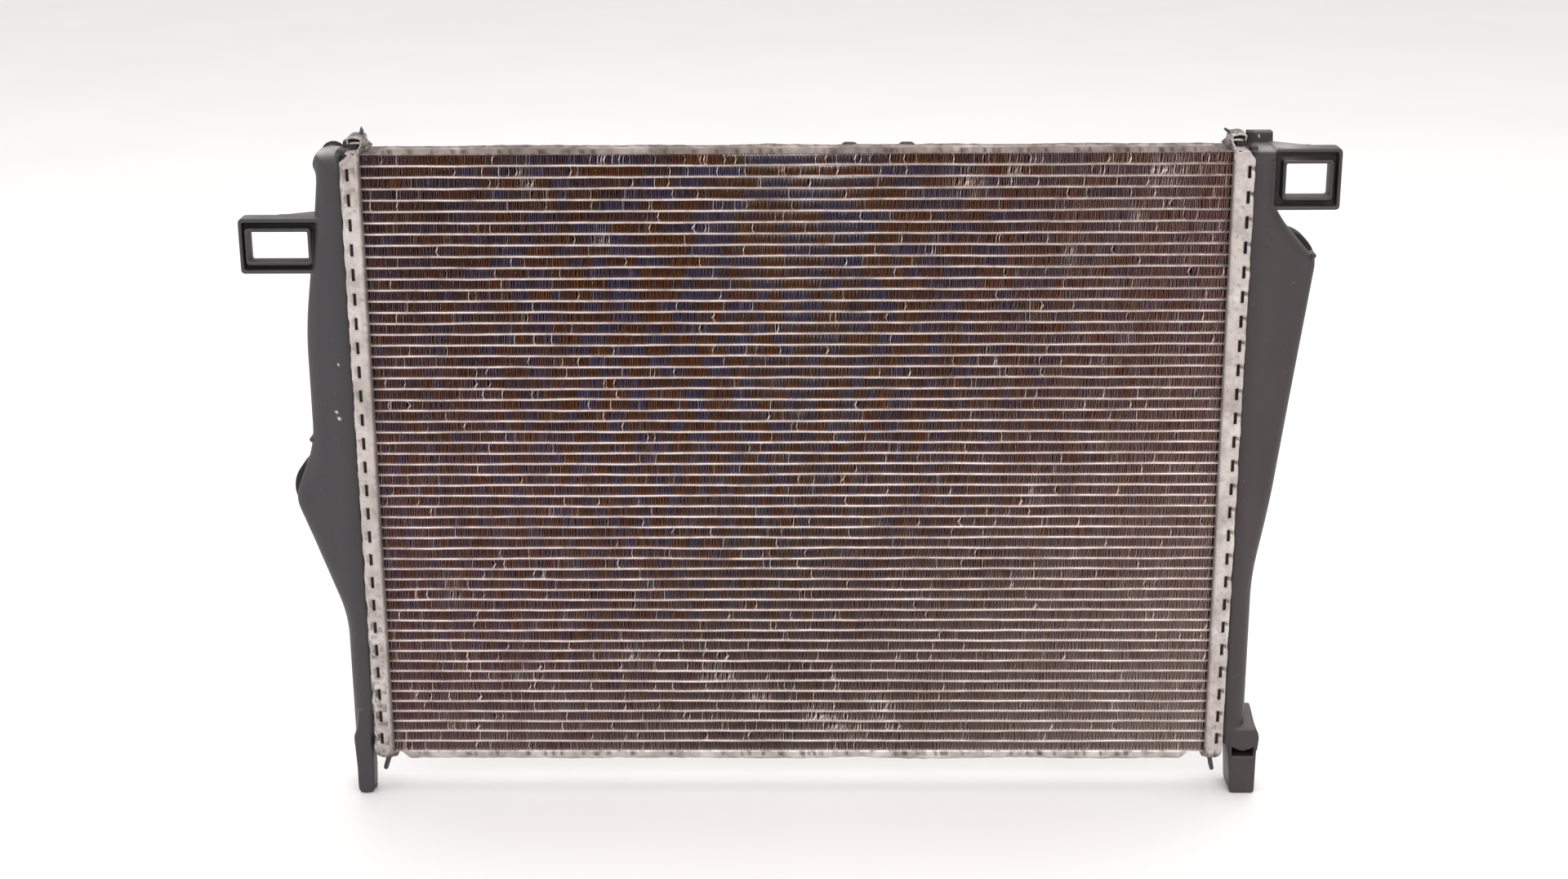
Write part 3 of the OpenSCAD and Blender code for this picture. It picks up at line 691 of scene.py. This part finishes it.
def header_sheet(side):
    """The sheet's points, the way into it, which of its cells are whole, and its dirt."""
    left = side < 0
    seed = 40 if left else 60
    profile, wall_count = header_profile()
    levels = header_rows()[:, None]
    rows, columns = len(levels), len(profile)
    u, y, into_u, into_y = swept(profile, rows)
    column = np.arange(columns)
    front = column < wall_count
    rear = column >= columns - wall_count
    # the way to the nearest slot, and the press mark beside it
    nearest = np.abs(levels - slot_levels()).argmin(1)
    away = levels - slot_levels()[nearest, None]
    depth = np.random.default_rng(seed).uniform(0.5, 1.1, SLOT_COUNT)[nearest, None]
    press = depth * (bump(away, 2.2, 1.8) if left else bump(away - 2.2, 1.2, 1.8))
    mark = unit((u - SLOT_U - 0.3) / (SLOT_W / 2)) * (1 - 0.8 * unit((u - SLOT_OUT) / 3.0))
    dent = press * mark * (0.6 if left else 1.2)
    ripple = 0.22 * wobble(levels, seed + 1, 60) * unit((u - 4) / 9)
    # the free edge is drawn in beside each mark, and both ends are trimmed to a slope
    edge_in = 0.35 * press + 0.26 * wobble(levels, seed + 2, 24) + 0.15
    trim_top = np.interp(HEADER_TOP - levels, [0.0, 0.6, 2.1, 6.1, 7.5], [6.2, 4.9, 4.6, 0.2, 0.0])
    low = unit((-levels - (HEADER_TOP - 6.0)) / 6.0)
    trim = np.maximum(trim_top, 4.5 * (1 - np.sqrt(np.maximum(1 - low * low, 0))))
    reach = HEADER_WALL - edge_in - trim
    scale = np.maximum((reach - SLOT_OUT) / (HEADER_WALL - SLOT_OUT), 0.02)
    moved = np.where(u > SLOT_OUT, SLOT_OUT + (u - SLOT_OUT) * scale, u)
    shrink = np.minimum(1, (reach - WALL_START) / (SLOT_OUT - WALL_START) * 0.999)
    squeezed = np.minimum(moved, WALL_START + (moved - WALL_START) * shrink)
    u = np.where((front | rear) & (reach < SLOT_OUT + 0.1), squeezed, moved)
    at_slot, at_edge = wall_shift(levels, left)
    near_core = unit((u - WALL_START) / (SLOT_IN - WALL_START)) * at_slot
    near_edge = at_slot + unit((u - SLOT_OUT) / 3.4) * (at_edge - at_slot)
    u = u + np.where(u < SLOT_U, near_core, near_edge)
    # the wall's top edge sags in a shallow notch
    sag = 1.4 * bump(u - 3.4, 0.3, 2.4) * unit((levels - HEADER_TOP + 5) / 5)
    z = levels - sag * (front | rear)
    y = y + (front * 1 - rear * 1) * (dent + ripple)
    keep = np.ones((rows - 1, columns - 1), bool)
    in_slot = np.abs((levels[1:] + levels[:-1]) / 2 - slot_levels()).min(1) < SLOT_L / 2 - 0.01
    for first in (wall_count - 9, columns - wall_count + 6):
        keep[np.ix_(in_slot, [first, first + 1])] = False
    inward = np.stack([into_u, into_y, 0 * into_u], -1) * HEADER_T
    grime_and_shade = header_stains_and_shade(levels, u, away, depth, at_slot, front, front | rear, seed)
    return np.stack([u, y, z], -1), inward, keep, grime_and_shade


def header_stains_and_shade(levels, u, away, depth, at_slot, front, walls, seed):
    """Stains and painted shade by each press mark, painted shade round the slots and in the bend at the core,
    stains in patches, and oil at the low end.
    """
    left = seed == 40
    low_part = 0.15 + 0 * levels
    # stains and painted shade in the press dent beside each slot
    dent_stain_and_shade = bump(away - 0.8, 2.4, 1.6) * bump(u - 10.6 - at_slot, 1.1, 1.3)
    if left:
        low_part = unit((-levels - 60) / 120) + 0.6 * bump(levels - 204, 12, 20)
        dent_stain_and_shade = (0.35 + 0.5 * low_part * depth) * dent_stain_and_shade
    else:
        # painted shadow of each press mark's upper edge, on the right plate
        painted_press_shadow = bump(away - 2.4, 0.9, 0.9) * bump(u - at_slot - 11.0, 1.0, 0.9)
        dent_stain_and_shade = np.maximum((0.35 + 0.5 * low_part * depth) * dent_stain_and_shade * 0.25, 0.85 * painted_press_shadow)
    patches = wobble(levels, seed + 7, 8) * wobble(u, seed + 8, 5)
    patches = np.maximum(patches, 0.6 * wobble(levels, seed + 11, 19) * wobble(u, seed + 12, 9))
    mottle = (0.1 + low_part) * np.clip(1.3 * patches, 0, 0.75)
    edge = 0.65 * low_part * unit(0.7 + 0.6 * wobble(levels, seed + 10, 9)) * unit(u - 12.4)
    # painted shade round the slots' edges
    rim = 0.45 * bump(away, SLOT_L / 2, 1.0) * bump(u - SLOT_U - at_slot, SLOT_W / 2, 0.7)
    oily = 2.5 + 4.0 * unit(wobble(u, seed + 9, 7))
    oily = oily + 3.0 * bump(u - 12.8, 1.0, 2.5) + 3.5 * bump(u - 0.5, 1.0, 2.5)
    ends = 0.85 * unit(1.3 - (levels + HEADER_TOP) / oily) + 0.3 * bump(levels - HEADER_TOP, 1, 6)
    streak = 0.25 * unit(wobble(levels, seed + 5, 45)) * bump(u - 2.5, 1.0, 3.0)
    # painted shade in the bend at the core
    inner = (0.42 if left else 0.2) * unit((2.4 - u) / 1.6)
    on_front = front * np.maximum.reduce([dent_stain_and_shade, mottle, edge])
    return np.maximum.reduce([on_front, rim * walls, ends, streak, inner])


def header(side, name, ear):
    points, faces, grime_and_shade = sheet_solid(*header_sheet(side), 0.85)
    new_piece(f"{name}_sheet", place(points, side), faces[:, ::side], HEADER_METAL, [name], layers={"dirt_and_painted_light": grime_and_shade})
    for up, end in ((1, "top"), (-1, "bottom")):
        points, quads = skin(lambda p: header_end(p, ear, up), (-8.5, -22.5, 219.0), (12.5, 22.5, 236.0), 0.45)
        u, y, z = points.T.copy()
        # painted shade: the end darkens towards the back and below the claw's top; stains and oil are added on top
        dark = np.clip((y + 1) / 5, 0, 0.55) + 0.5 * unit((231 - z) / 3) * (y > -2)
        dark = np.where(u < 0, 0.25 * np.abs(wobble(z, 41, 5)), dark)
        stains = wobble(u + z, 43 + side, 5) * wobble(y - z, 47 + up, 7)
        dark = dark + (0.36 if up > 0 else 0.72) + 0.45 * stains
        points[:, 2] *= up
        new_piece(f"{name}_end_{end}", place(points, side), quads[:, ::side * up], HEADER_METAL, [name],
                  layers={"dirt_and_painted_light": np.clip(dark, 0, 0.9)})


def header_end(p, ear, up):
    """The sheet's bent end: a claw hooked over the tank's lug, its finger, an ear and the lids at the wall tops."""
    u, y, z = p
    bent_z = z + 0.3 * np.sin(0.55 * u + 0.9) - 0.02 * y + 0.012 * (u - 5) ** 2 - 0.2
    hook = [(0, 219), (0, 234.2, 0.9), (10.9, 234.0, 1.3), (10.9, 229.0, 0.4), (9.5, 229.0, 0.4),
            (9.5, 232.6, 0.7), (1.5, 232.6, 0.9), (1.5, 219)]
    body = slab((u + 0.25 * np.sin(0.8 * z) + 0.03 * y, y, bent_z), hook, -4, 14, 0.35)
    # the floor's shoulder rises towards the claw
    web = [(-21.2, 219), (-21.2, 222.5), (-18.6, 226.4, 2), (-9, 229.3, 3), (-4, 231), (14, 231), (19, 226.4, 2),
           (21.2, 222.5), (21.2, 219)]
    body = join(body, slab((y, u + 0.25 * np.sin(0.5 * y), z), web, 0, 1.5, 0.4), 0.5)
    # lids bent over the foot, torn unevenly
    lid = (u, y, z - 0.25 * np.sin(0.9 * u + y))
    for y0, y1 in ((-19.6, -5.5), (15.2, 19.6)):
        body = join(body, solid_box(lid, (0, y0, 224.6), (9.6, y1, 226.1), 0.5), 0.4)
    if up < 0:
        return body
    bar = (u, y, z - 0.16 * (u - 1) + 0.02 * u * u)
    curl = y - 0.12 * (u - 0.5) ** 2 * 0.4 + 0.12 * (z - 229)
    return add(body, (solid_box(bar, (1.0, -5.4, 229.2), (8.6, -3.2, 230.9), 0.7), 0.3),
               (solid_box(p, (-0.9, -5.2, 227.0), (1.7, -2.8, 231.3), 1.0), 0.5),
               (slab((u, curl, z), ear, -3.9, -2.5, 0.35), 0.5))


# ---------- gaskets ----------

def loft(stations, start):
    """A closed tube of eight-sided sections, from stations (middle, half across, half deep) in (u, y, z)."""
    sides = np.array([(-1, -0.6), (-0.6, -1), (0.6, -1), (1, -0.6), (1, 0.6), (0.6, 1), (-0.6, 1), (-1, 0.6)])
    points = []
    for (middle, half, deep), way in zip(stations, np.gradient(np.array([s[0] for s in stations]), axis=0)):
        across = np.array([way[2], 0, -way[0]])
        across = across / max(np.linalg.norm(across), 1e-6)
        points.append(np.array(middle) + sides[:, :1] * half * across + sides[:, 1:] * deep * np.array([0, 1, 0]))
    quads = [grid_quads(len(stations), 8, True, start)]
    for first, order in ((start, 1), (start + 8 * (len(stations) - 1), -1)):
        for k in (1, 3, 5):
            quads.append(np.array([[first, first + k, first + k + 1, first + (k + 2) % 8]])[:, ::order])
    return np.concatenate(points), np.concatenate(quads)


def gasket_ring():
    """The rubber ring under the tank's foot: a round section carried round a squared oval."""
    turns = np.linspace(0, 2 * math.pi, 121)[:-1, None]
    way_y, way_z = np.cos(turns), np.sin(turns)
    section = np.arange(8) * math.pi / 4
    y = 18.4 * np.sign(way_y) * np.abs(way_y) ** 0.12 + 1.8 * np.cos(section) * way_y
    z = 222.3 * np.sign(way_z) * np.abs(way_z) ** 0.12 + 1.8 * np.cos(section) * way_z
    points = np.stack([2.45 + 0.93 * np.sin(section) + 0 * y, y, z], -1).reshape(-1, 3)
    return points, grid_quads(len(turns) + 1, 8, True) % len(points)


def gasket(side, name, *tails):
    """The ring and its two tails, which stick out through the header's ends."""
    points, quads = gasket_ring()
    for stations in tails:
        tail_points, tail_quads = loft(stations, len(points))
        points = np.concatenate([points, tail_points])
        quads = np.concatenate([quads, tail_quads])
    new_piece(f"{name}_rubber", place(points, side), quads[:, ::side], RUBBER, [name])


# ---------- tanks ----------

def port(p, body, shell, at):
    """Collar, spigot with a bead at its mouth and a groove, pointing back; hollow through to the header plate."""
    body = add(body, (solid_rod(p, at, 12, 32, 24, 1.5), 3.0), (solid_rod(p, at, 25, 62, 19, 1.2), 1.5))
    groove = np.maximum(-solid_rod(p, at, 0, 90, 17.8), solid_rod(p, at, 54, 57, 30))
    body = cut(body, groove, 0.4)
    for turn in range(8):
        angle = turn * math.pi / 4
        along = (p[0] - at[0]) * math.cos(angle) + (p[2] - at[1]) * math.sin(angle)
        across = -(p[0] - at[0]) * math.sin(angle) + (p[2] - at[1]) * math.cos(angle)
        rib = solid_box((along, p[1], across), (17, 30, -0.9), (22.5, 40, 0.9), 0.4)
        slope = (along - 18.5) * 0.9 + (p[1] - 31) * 0.4 - 3
        body = join(body, np.maximum(rib, slope), 0.8)
    inside = np.maximum(shell + 3.2, np.maximum(np.abs(p[1]) - 14.3, np.abs(p[2] - at[1]) - 30))
    mouth = solid_box(p, (1, -14.3, at[1] - 30), (12, 14.3, at[1] + 30), 1)
    body = cut(body, join(inside, mouth), 0.5)
    return cut(body, solid_rod(p, at, 10, 70, 16.5), 0.5)


def loop(p, body, reach, hole, web):
    """A rectangular bracket with a deep recess round its opening, and a level web back to the tank."""
    u0, u1, z0, z1 = reach
    h0, h1, g0, g1 = hole
    rib = 2.4
    rim = 2.3
    bracket = slab(p, rectangle(*reach, 3, 4), -14, 0, 0.8)
    recess = flat_outline(p[0], p[2], rectangle(u0 + 1.5, u1 - rib, z0 + rib, z1 - rib - 0.6, 1.5))
    rim_flat = flat_outline(p[0], p[2], rectangle(h0 - rim, h1 + rim, g0 - rim, g1 + rim, 3))
    bracket = cut(bracket, solid_slab(np.maximum(recess, -rim_flat), p[1], -20, -5, 0.3), 0.5)
    gusset = [(web[0], -12), (web[1], -3), (web[1], -0.5), (web[0], web[2])]
    bracket = join(bracket, slab((p[0], p[2], p[1]), gusset, z1 - 3, z1, 0.8), 1.5)
    return cut(join(body, bracket, 1.6), slab(p, rectangle(*hole, 1), -30, 20), 0.5)


def foot_flange(p, body):
    """The tank's foot inside the header plate, with its end lugs."""
    foot = solid_box(p, (3.4, -20.1, -224.2), (9.9, 20.1, 224.2), 0.5)
    lugs = solid_box((p[0], p[1], np.abs(p[2])), (3.4, -3, 222), (9.1, 13, 231.4), 0.6)
    shoulder = solid_box(p, (3.4, -3.2, 221), (11.2, 13, 228.9), 0.7)
    return add(body, (join(foot, lugs), 0.8), (shoulder, 0.6))


def crowned(p, start, fall):
    """The tank's front and back fall away towards the outer edge."""
    return p[0], p[1] * (1 + fall * np.clip((p[0] - start) / 24, 0, 1.6) ** 2), p[2]


def left_tank(p):
    outline = [(6, -216), (29.7, -216), (30.0, -118, 16), (63.0, -27.5, 9), (46.8, 14, 14), (46.8, 98, 20),
               (35.6, 178, 10), (32.6, 205, 3), (33.2, 225.8, 7), (12.8, 225.8, 1), (11.6, 221), (6, 221)]
    shell = slab(crowned(p, 13, 0.16), outline, -TANK_D / 2, TANK_D / 2, 9.5)
    body = port(p, foot_flange(p, shell), shell, LEFT_PORT)
    body = loop(p, body, (30, 88.3, 139.9, 179.3), (40.2, 82, 148.2, 169.7), (31, 62, 15))
    ejector_mark = solid_rod(p, (47.6, 16.5), -9, 3, 2.0, 0.8)
    front_block = solid_box(p, (7, -12, 219), (16.5, -4, 227.2), 0.7)
    rear_block = solid_box(p, (10.5, -2, 219), (14, 8, 231.5), 1.2)
    vent_boss = solid_rod(p, (26.4, 216.0), -9, 20, 8, 1.4)
    vent_bead = solid_rod(p, (27.8, 215.4), 33.5, 36.5, 9.2, 0.6)
    body = add(body, (ejector_mark, 0.6), (front_block, 0.5), (rear_block, 0.5), (vent_boss, 1.5),
               (vent_bead, 0.3), (solid_rod(p, VENT, 15, 40, 6.5, 0.8), 0.8))
    body = cut(body, solid_rod(p, VENT, 6, 60, 4), 0.3)
    # foot: a flat blade in front, stiffened where it leaves the tank
    blade = [(16.2, -188), (16.1, -240), (16.9, -257.7, 4.5), (28.4, -257.7, 4.5), (28.8, -250, 3),
             (28.6, -238, 4), (29.9, -211.5, 2.5), (27.2, -206, 2), (25, -190)]
    root = solid_box(p, (16.4, -15, -219), (27, 6, -206), 1)
    moulding_mark = solid_rod(p, (17.2, -254.0), -14, -8, 1.5, 0.5)
    body = add(body, (slab(p, blade, -18.3, -2, 1.8), 1.6), (root, 2.5), (moulding_mark, 0.5))
    # boss of the drain plug, its seat, its bore and the way for its lugs
    body = join(body, solid_rod(p, DRAIN, 12, 25, 8.9, 0.6), 2.0)
    body = cut(body, solid_rod(p, DRAIN, 23.5, 40, 7.1), 0.2)
    body = cut(body, solid_rod(p, DRAIN, 8, 40, 3.55))
    body = cut(body, solid_box(p, (21.2, 8, -191), (24.2, 24, -181)))
    return cut(body, solid_box(p, (10, 8, -191.5), (28, 14.3, -180.5)))


def right_tank(p):
    outline = [(6, -216), (29.3, -216), (29.4, -88, 16), (39.7, -31, 16), (62.3, 146, 5), (38, 174, 8),
               (31, 186, 5), (31, 224, 3), (6, 224)]
    shell = slab(crowned(p, 13, 0.13), outline, -TANK_D / 2, TANK_D / 2, 8.5)
    body = port(p, foot_flange(p, shell), shell, RIGHT_PORT)
    body = loop(p, body, (28.5, 75.2, 182.9, 226), (37.3, 67.5, 192, 215.3), (29, 55, 16.5))
    ejector_mark = solid_rod(p, (60.0, 149.9), -12, 0, 1.8, 0.7)
    stub = slab(p, [(13.2, 215), (31.7, 215), (30.9, 233.8), (13.0, 233.8)], 9, 17, 0.8)
    front_block = solid_box(p, (12.5, -12, 219), (17.5, -4, 227.2), 0.7)
    flat_top = solid_box(p, (13.5, -16.7, 218.5), (29.5, 14, 224.3), 1.0)
    body = add(body, (ejector_mark, 0.8), (stub, 1.0), (front_block, 0.5), (flat_top, 1.5))
    # foot: a block flush with the tank's front, a domed shoulder and a slot for a latch
    block = [(18.0, -206), (18.0, -223), (20.3, -257.7, 2.5), (38.5, -257.7, 2.5), (38.7, -226),
             (39.9, -211.8, 3), (37.2, -206, 2)]
    dome = [(14, -218), (14, -190), (36.9, -190, 9), (37.6, -205.4, 2), (39.9, -211.8, 3), (38.9, -222)]
    dome = np.maximum(flat_outline(p[0], p[2], dome), np.abs(p[1] + 2.7) - 14.8)
    slope = (p[2] + 205.6) * 0.955 - (p[1] + 17.5) * 0.295
    shoulder = np.maximum(-join(-dome, -slope, 2.2), 14 - p[0])
    body = join(body, join(slab(p, block, -17.5, 12, 1.3), shoulder, 2.0), 1.0)
    arch = -219.8 - 3.3 * (1 - ((p[0] - 28.5) / 8.0) ** 2)
    latch = np.maximum(solid_box(p, (20.6, -30, -227.9), (36.5, 2, -218.8), 0.4), p[2] - arch)
    return cut(body, latch, 0.4)


def near_points(points, spots):
    """1 close to any of the (u, z, radius) spots on the front face, 0 away from them."""
    total = np.zeros(len(points))
    for u, z, radius in spots:
        away = np.hypot(points[:, 0] - u, points[:, 2] - z)
        total = np.maximum(total, unit(1.6 - away / radius) * (points[:, 1] < 10))
    return total


def tank(side, name, shape, high_u, recess_box, top_dust, paint, dark_spots):
    points, quads = skin(shape, (2.0, -21.5, -259.0), (high_u, 63.5, 238.5), 1.1)
    u, y, z = points.T
    left = side < 0
    u0, u1, z0, z1 = recess_box
    # painted shade: the brackets' recesses are painted near black
    recess = (0.65 if left else 0.25) * ((u > u0) & (u < u1) & (z > z0) & (z < z1) & (y > -13.0) & (y < -4.0))
    # painted shade: the tank's front darkens towards the header plate, most high up
    painted_shade_by_header = 0.3 * unit((26 - u) / 12) * np.clip((z + 170) / 120, 0.2, 1) * (y < 0)
    # painted shadow: a dark band on the tank's faces beside the header's free edge
    beside = 0.8 * unit((16.4 - u) / 2.2) * (np.abs(y) > 13) * (0.8 + 0.2 * wobble(z, 77, 30))
    # painted shade: the foot, seen through the header's slots, is painted near black
    foot = 0.9 * ((u < 11.2) & (np.abs(y) > 16.5))
    # painted shade: the vent's bead at the back is painted dark
    painted_shade_vent_bead = 0.9 * left * (z > 200) * (u < 40) * (y > 33) * (np.hypot(u - 27.8, z - 215.4) > 7.8)
    # painted shade: the port's collar behind the tank is painted dark
    port_z = (LEFT_PORT if left else RIGHT_PORT)[1]
    painted_shade_on_collar = 0.85 * (np.hypot(u - 42, z - port_z) < 27) * (y > 11)
    # painted shade: the latch slot under the right foot is painted dark
    latch = 0.95 * (not left) * (u > 20) * (u < 37.5) * (z > -228.5) * (z < -218.7) * (y > -16.4) * (y < 4)
    blocks = 0.55 * ((z > 221.3) & (u < 17.7) & (y < 14))
    dirt_and_painted_light = np.maximum.reduce([recess, painted_shade_by_header, beside, foot, painted_shade_vent_bead, blocks, painted_shade_on_collar, latch,
                              0.9 * near_points(points, dark_spots)])
    # dust lies on the domed top end and the brackets' level webs, not on the stub
    dust = top_dust * unit((z - 209) / 8) * unit((y + 17.3) / 6) * unit((u - 11) / 2) * unit((60 - u) / 20)
    dust = dust * (z < (240 if left else 226.5)) * (blocks == 0) * (painted_shade_vent_bead == 0)
    new_piece(f"{name}_moulding", place(points, side), quads[:, ::side], LEFT_PLASTIC if left else RIGHT_PLASTIC,
              [name], layers={"dirt_and_painted_light": unit(dirt_and_painted_light), "dust": unit(dust), "paint": near_points(points, paint)})


# ---------- side plates ----------

def side_plate(name, up, flange, look):
    """Sheet on the outermost fin row, with a front flange that has a rolled upper edge."""
    x = np.linspace(-HALF_W + 0.2, HALF_W - 0.2, 301)[:, None]
    back, front = CORE_D / 2, -CORE_D / 2
    profile = [(back, 0), (back - 1, 0), (8, 0), (0, 0), (-8, 0), (front + 2, 0), (front + 0.9, 0.25),
               (front + 0.25, 0.9), (front, 2), (front, 3), (front, 4), (front, 5), (front + 0.15, 5.9),
               (front + 0.6, 6.7), (front + 1.5, 7.1)]
    y, z, into_y, into_z = swept(profile, len(x))
    grow = unit(np.minimum(x - flange[0], flange[1] - x) / 6)
    z = np.where(z > 1, 1 + (z - 1) * np.maximum(grow, 0.02), z)
    lift = unit((z - 2) / 5)
    seed = 900 if up > 0 else 950
    y = y + lift * (0.5 * wobble(x, seed, 70) + 0.3 * wobble(x, seed + 1, 16))
    z = z + lift * (0.35 * wobble(x, seed + 2, 90) + 0.12 * wobble(x, seed + 6, 9))
    points = np.stack([x + 0 * y, y, up * (STACK_TOP + z)], -1)
    inward = np.stack([0 * into_y, into_y, up * into_z], -1) * 1.1
    stain = 0.40 * unit(wobble(x, seed + 3, 30)) * bump(z - 4, 1.5, 2.5)
    torn = (0.7 if up > 0 else 0.6) * unit(0.45 + 0.6 * wobble(x, seed + 4, 12)) * bump(z - 6.9, 0.3, 1.0)
    # darker in patches along the bend at the flange's foot
    dark_along_bend = 0.5 * bump(z - 1.0, 0.5, 0.9) * unit(wobble(x, seed + 5, 9))
    specks = np.clip(2.2 * wobble(x, seed + 8, 7) * wobble(x, seed + 9, 17), 0, 0.85) * bump(z - 2.8, 1.0, 1.6)
    stain = np.maximum.reduce([stain, torn, dark_along_bend, specks])
    keep = np.ones((len(x) - 1, len(profile) - 1), bool)
    points, faces, grime_and_shade = sheet_solid(points, inward, keep, stain, 0.6)
    new_piece(f"{name}_sheet", points, faces[:, ::-up], look, [name], layers={"dirt_and_painted_light": grime_and_shade})


def cowl_tab(number, x):
    """A low lens of sheet pressed up at the top plate's rear edge."""
    back = CORE_D / 2
    outline = [(x + a, STACK_TOP + 0.3 + 3.0 * float(bump(a, 3.0, 5.0))) for a in np.linspace(-8.0, 8.0, 17)]
    outline += [(x + 8.0, STACK_TOP - 0.6), (x - 8.0, STACK_TOP - 0.6)]

    def shape(p):
        return slab((p[0], p[1] + 0.25 * (p[2] - STACK_TOP), p[2]), outline, back - 1.2, back, 0.3)

    points, quads = skin(shape, (x - 9.5, back - 4, STACK_TOP - 2), (x + 9.5, back + 2, STACK_TOP + 5), 0.4)
    dirt_and_painted_light = 0.75 * unit((points[:, 2] - STACK_TOP - 1.6) / 1.2)
    new_piece(f"cowl_tab_{number}", points, quads, SHADED_TOP_METAL, ["side_plate_top"], layers={"dirt_and_painted_light": dirt_and_painted_light})


# ---------- small pieces left as designed ----------

def finish_cad_node(name, material):
    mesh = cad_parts[name].data
    mesh.materials.clear()
    mesh.materials.append(material)


# ---------- stage ----------

def build_floor():
    mesh = bpy.data.meshes.new("floor")
    size = 14.0
    mesh.from_pydata([(-size, -size, 0), (size, -size, 0), (size, size, 0), (-size, size, 0)], [], [(0, 1, 2, 3)])
    look = Look("pale_floor")
    base = look.ramp(look.noise(3, 4), (0.3, (0.84, 0.825, 0.815)), (0.7, (0.87, 0.855, 0.845)))
    mesh.materials.append(look.finish(base, 0.45, Specular_IOR_Level=0.3))
    add_object("floor", mesh)


def soft_light(name, at, target, size, power):
    data = bpy.data.lights.new(name, "AREA")
    data.shape = "RECTANGLE"
    data.size, data.size_y = size
    data.energy = power
    lamp = add_object(name, data)
    lamp.location = at
    lamp.rotation_euler = (Vector(target) - Vector(at)).to_track_quat("-Z", "Y").to_euler()


def build_light():
    world = bpy.data.worlds.new("studio")
    bpy.context.scene.world = world
    world.use_nodes = True
    world.node_tree.nodes["Background"].inputs["Color"].default_value = (1.0, 0.995, 0.99, 1)
    world.node_tree.nodes["Background"].inputs["Strength"].default_value = 0.90
    soft_light("key", (0.5, -2.6, 2.0), (0, 0, 0.2), (2.6, 1.8), 60)
    soft_light("left", (-2.2, -1.0, 1.0), (-0.3, 0, 0.25), (1.4, 1.4), 9)
    soft_light("top", (0.2, 1.0, 3.2), (0, 0, 0), (3.0, 2.0), 50)


def build_camera():
    """At the photograph's place: in front, above the middle, looking slightly down."""
    data = bpy.data.cameras.new("camera")
    data.sensor_width = 36.0
    data.lens = 55.34
    camera = add_object("camera", data)
    yaw, pitch, roll = (math.radians(a) for a in (0.94, -17.55, -0.39))
    turn = Matrix.Rotation(yaw, 3, "Z") @ Matrix.Rotation(math.pi / 2 + pitch, 3, "X")
    turn = turn @ Matrix.Rotation(roll, 3, "Z")
    where = Vector(to_row([(17.8, -1651.8, 535.8)])[0])
    camera.matrix_world = Matrix.Translation(where) @ turn.to_4x4()
    bpy.context.scene.camera = camera


build_camera()
build_light()
build_floor()
bpy.context.scene.view_settings.view_transform = "Standard"

for number in range(1, TUBE_BANKS + 1):
    bank("tube", number, TUBES_PER_BANK, flat_tube, TUBE_METAL, ["dirt_and_painted_light"])
for number in range(1, FIN_BANKS + 1):
    bank("fin", number, FINS_PER_BANK, fin_strip, FIN_SHEET, ["dirt_and_painted_light", "tint", "dust_and_painted_light"])
header(-1, "header_left", [(-2.0, 234.4), (-7.0, 228.9), (-3.0, 223.9), (0.2, 227.3)])
header(1, "header_right", [(-2.3, 233.4), (-6.5, 228.4), (-0.9, 223.2), (0.2, 228.6)])
tank(-1, "tank_left", left_tank, 90.5, (31.4, 86.2, 142.0, 177.0), 0.95,
     [(25.5, 34.8, 0.9), (27.0, 39.6, 0.8), (23.6, 74.6, 0.6)], [])
tank(1, "tank_right", right_tank, 77.5, (30.0, 73.2, 185.0, 223.8), 0.65, [(21.5, 230.5, 0.6)],
     [(25.8, 157.5, 0.9), (24.3, -231.8, 0.4), (27.0, -231.5, 0.4), (29.2, -231.6, 0.4), (32.0, -231.4, 0.4),
      (34.6, -232.0, 0.9)])
side_plate("side_plate_top", 1, (-290, 292), SHADED_TOP_METAL)
side_plate("side_plate_bottom", -1, (-295, 289), BOTTOM_METAL)
cowl_tab(1, 37.5)
cowl_tab(2, 77.5)
gasket(-1, "gasket_left",
       [((2.4, 9, 223.0), 0.9, 2.4), ((2.4, 9, 231.5), 1.3, 2.4), ((2.35, 9, 234.0), 1.45, 2.3),
        ((2.2, 9, 236.6), 1.2, 2.0), ((2.3, 9, 238.4), 0.6, 1.4), ((2.4, 9, 239.3), 0.25, 0.8)],
       [((2.4, -4, -222.5), 0.9, 2.4), ((3.6, -7, -228.0), 1.4, 2.4), ((6.2, -9, -232.2), 1.8, 2.4),
        ((7.7, -9, -237.0), 1.8, 2.2), ((8.8, -9, -240.5), 1.6, 1.9), ((9.1, -9, -241.6), 1.0, 1.2)])
gasket(1, "gasket_right",
       [((2.4, 9, 223.0), 0.9, 2.4), ((2.4, 9, 230.0), 1.2, 2.4), ((1.7, 9, 232.6), 1.2, 2.3),
        ((-0.4, 9, 234.2), 1.0, 2.0), ((-2.2, 9, 235.3), 0.9, 1.6), ((-3.0, 9, 235.8), 0.5, 1.0)],
       [((2.4, -4, -222.5), 0.9, 2.4), ((3.6, -7, -228.0), 1.3, 2.4), ((5.9, -9, -232.6), 1.6, 2.4),
        ((6.7, -9, -237.2), 1.6, 2.2), ((7.6, -9, -240.8), 1.5, 1.9), ((7.9, -9, -241.9), 0.9, 1.2)])
finish_cad_node("drain_seal", RUBBER[0])
finish_cad_node("drain_plug", PLUG_PLASTIC)
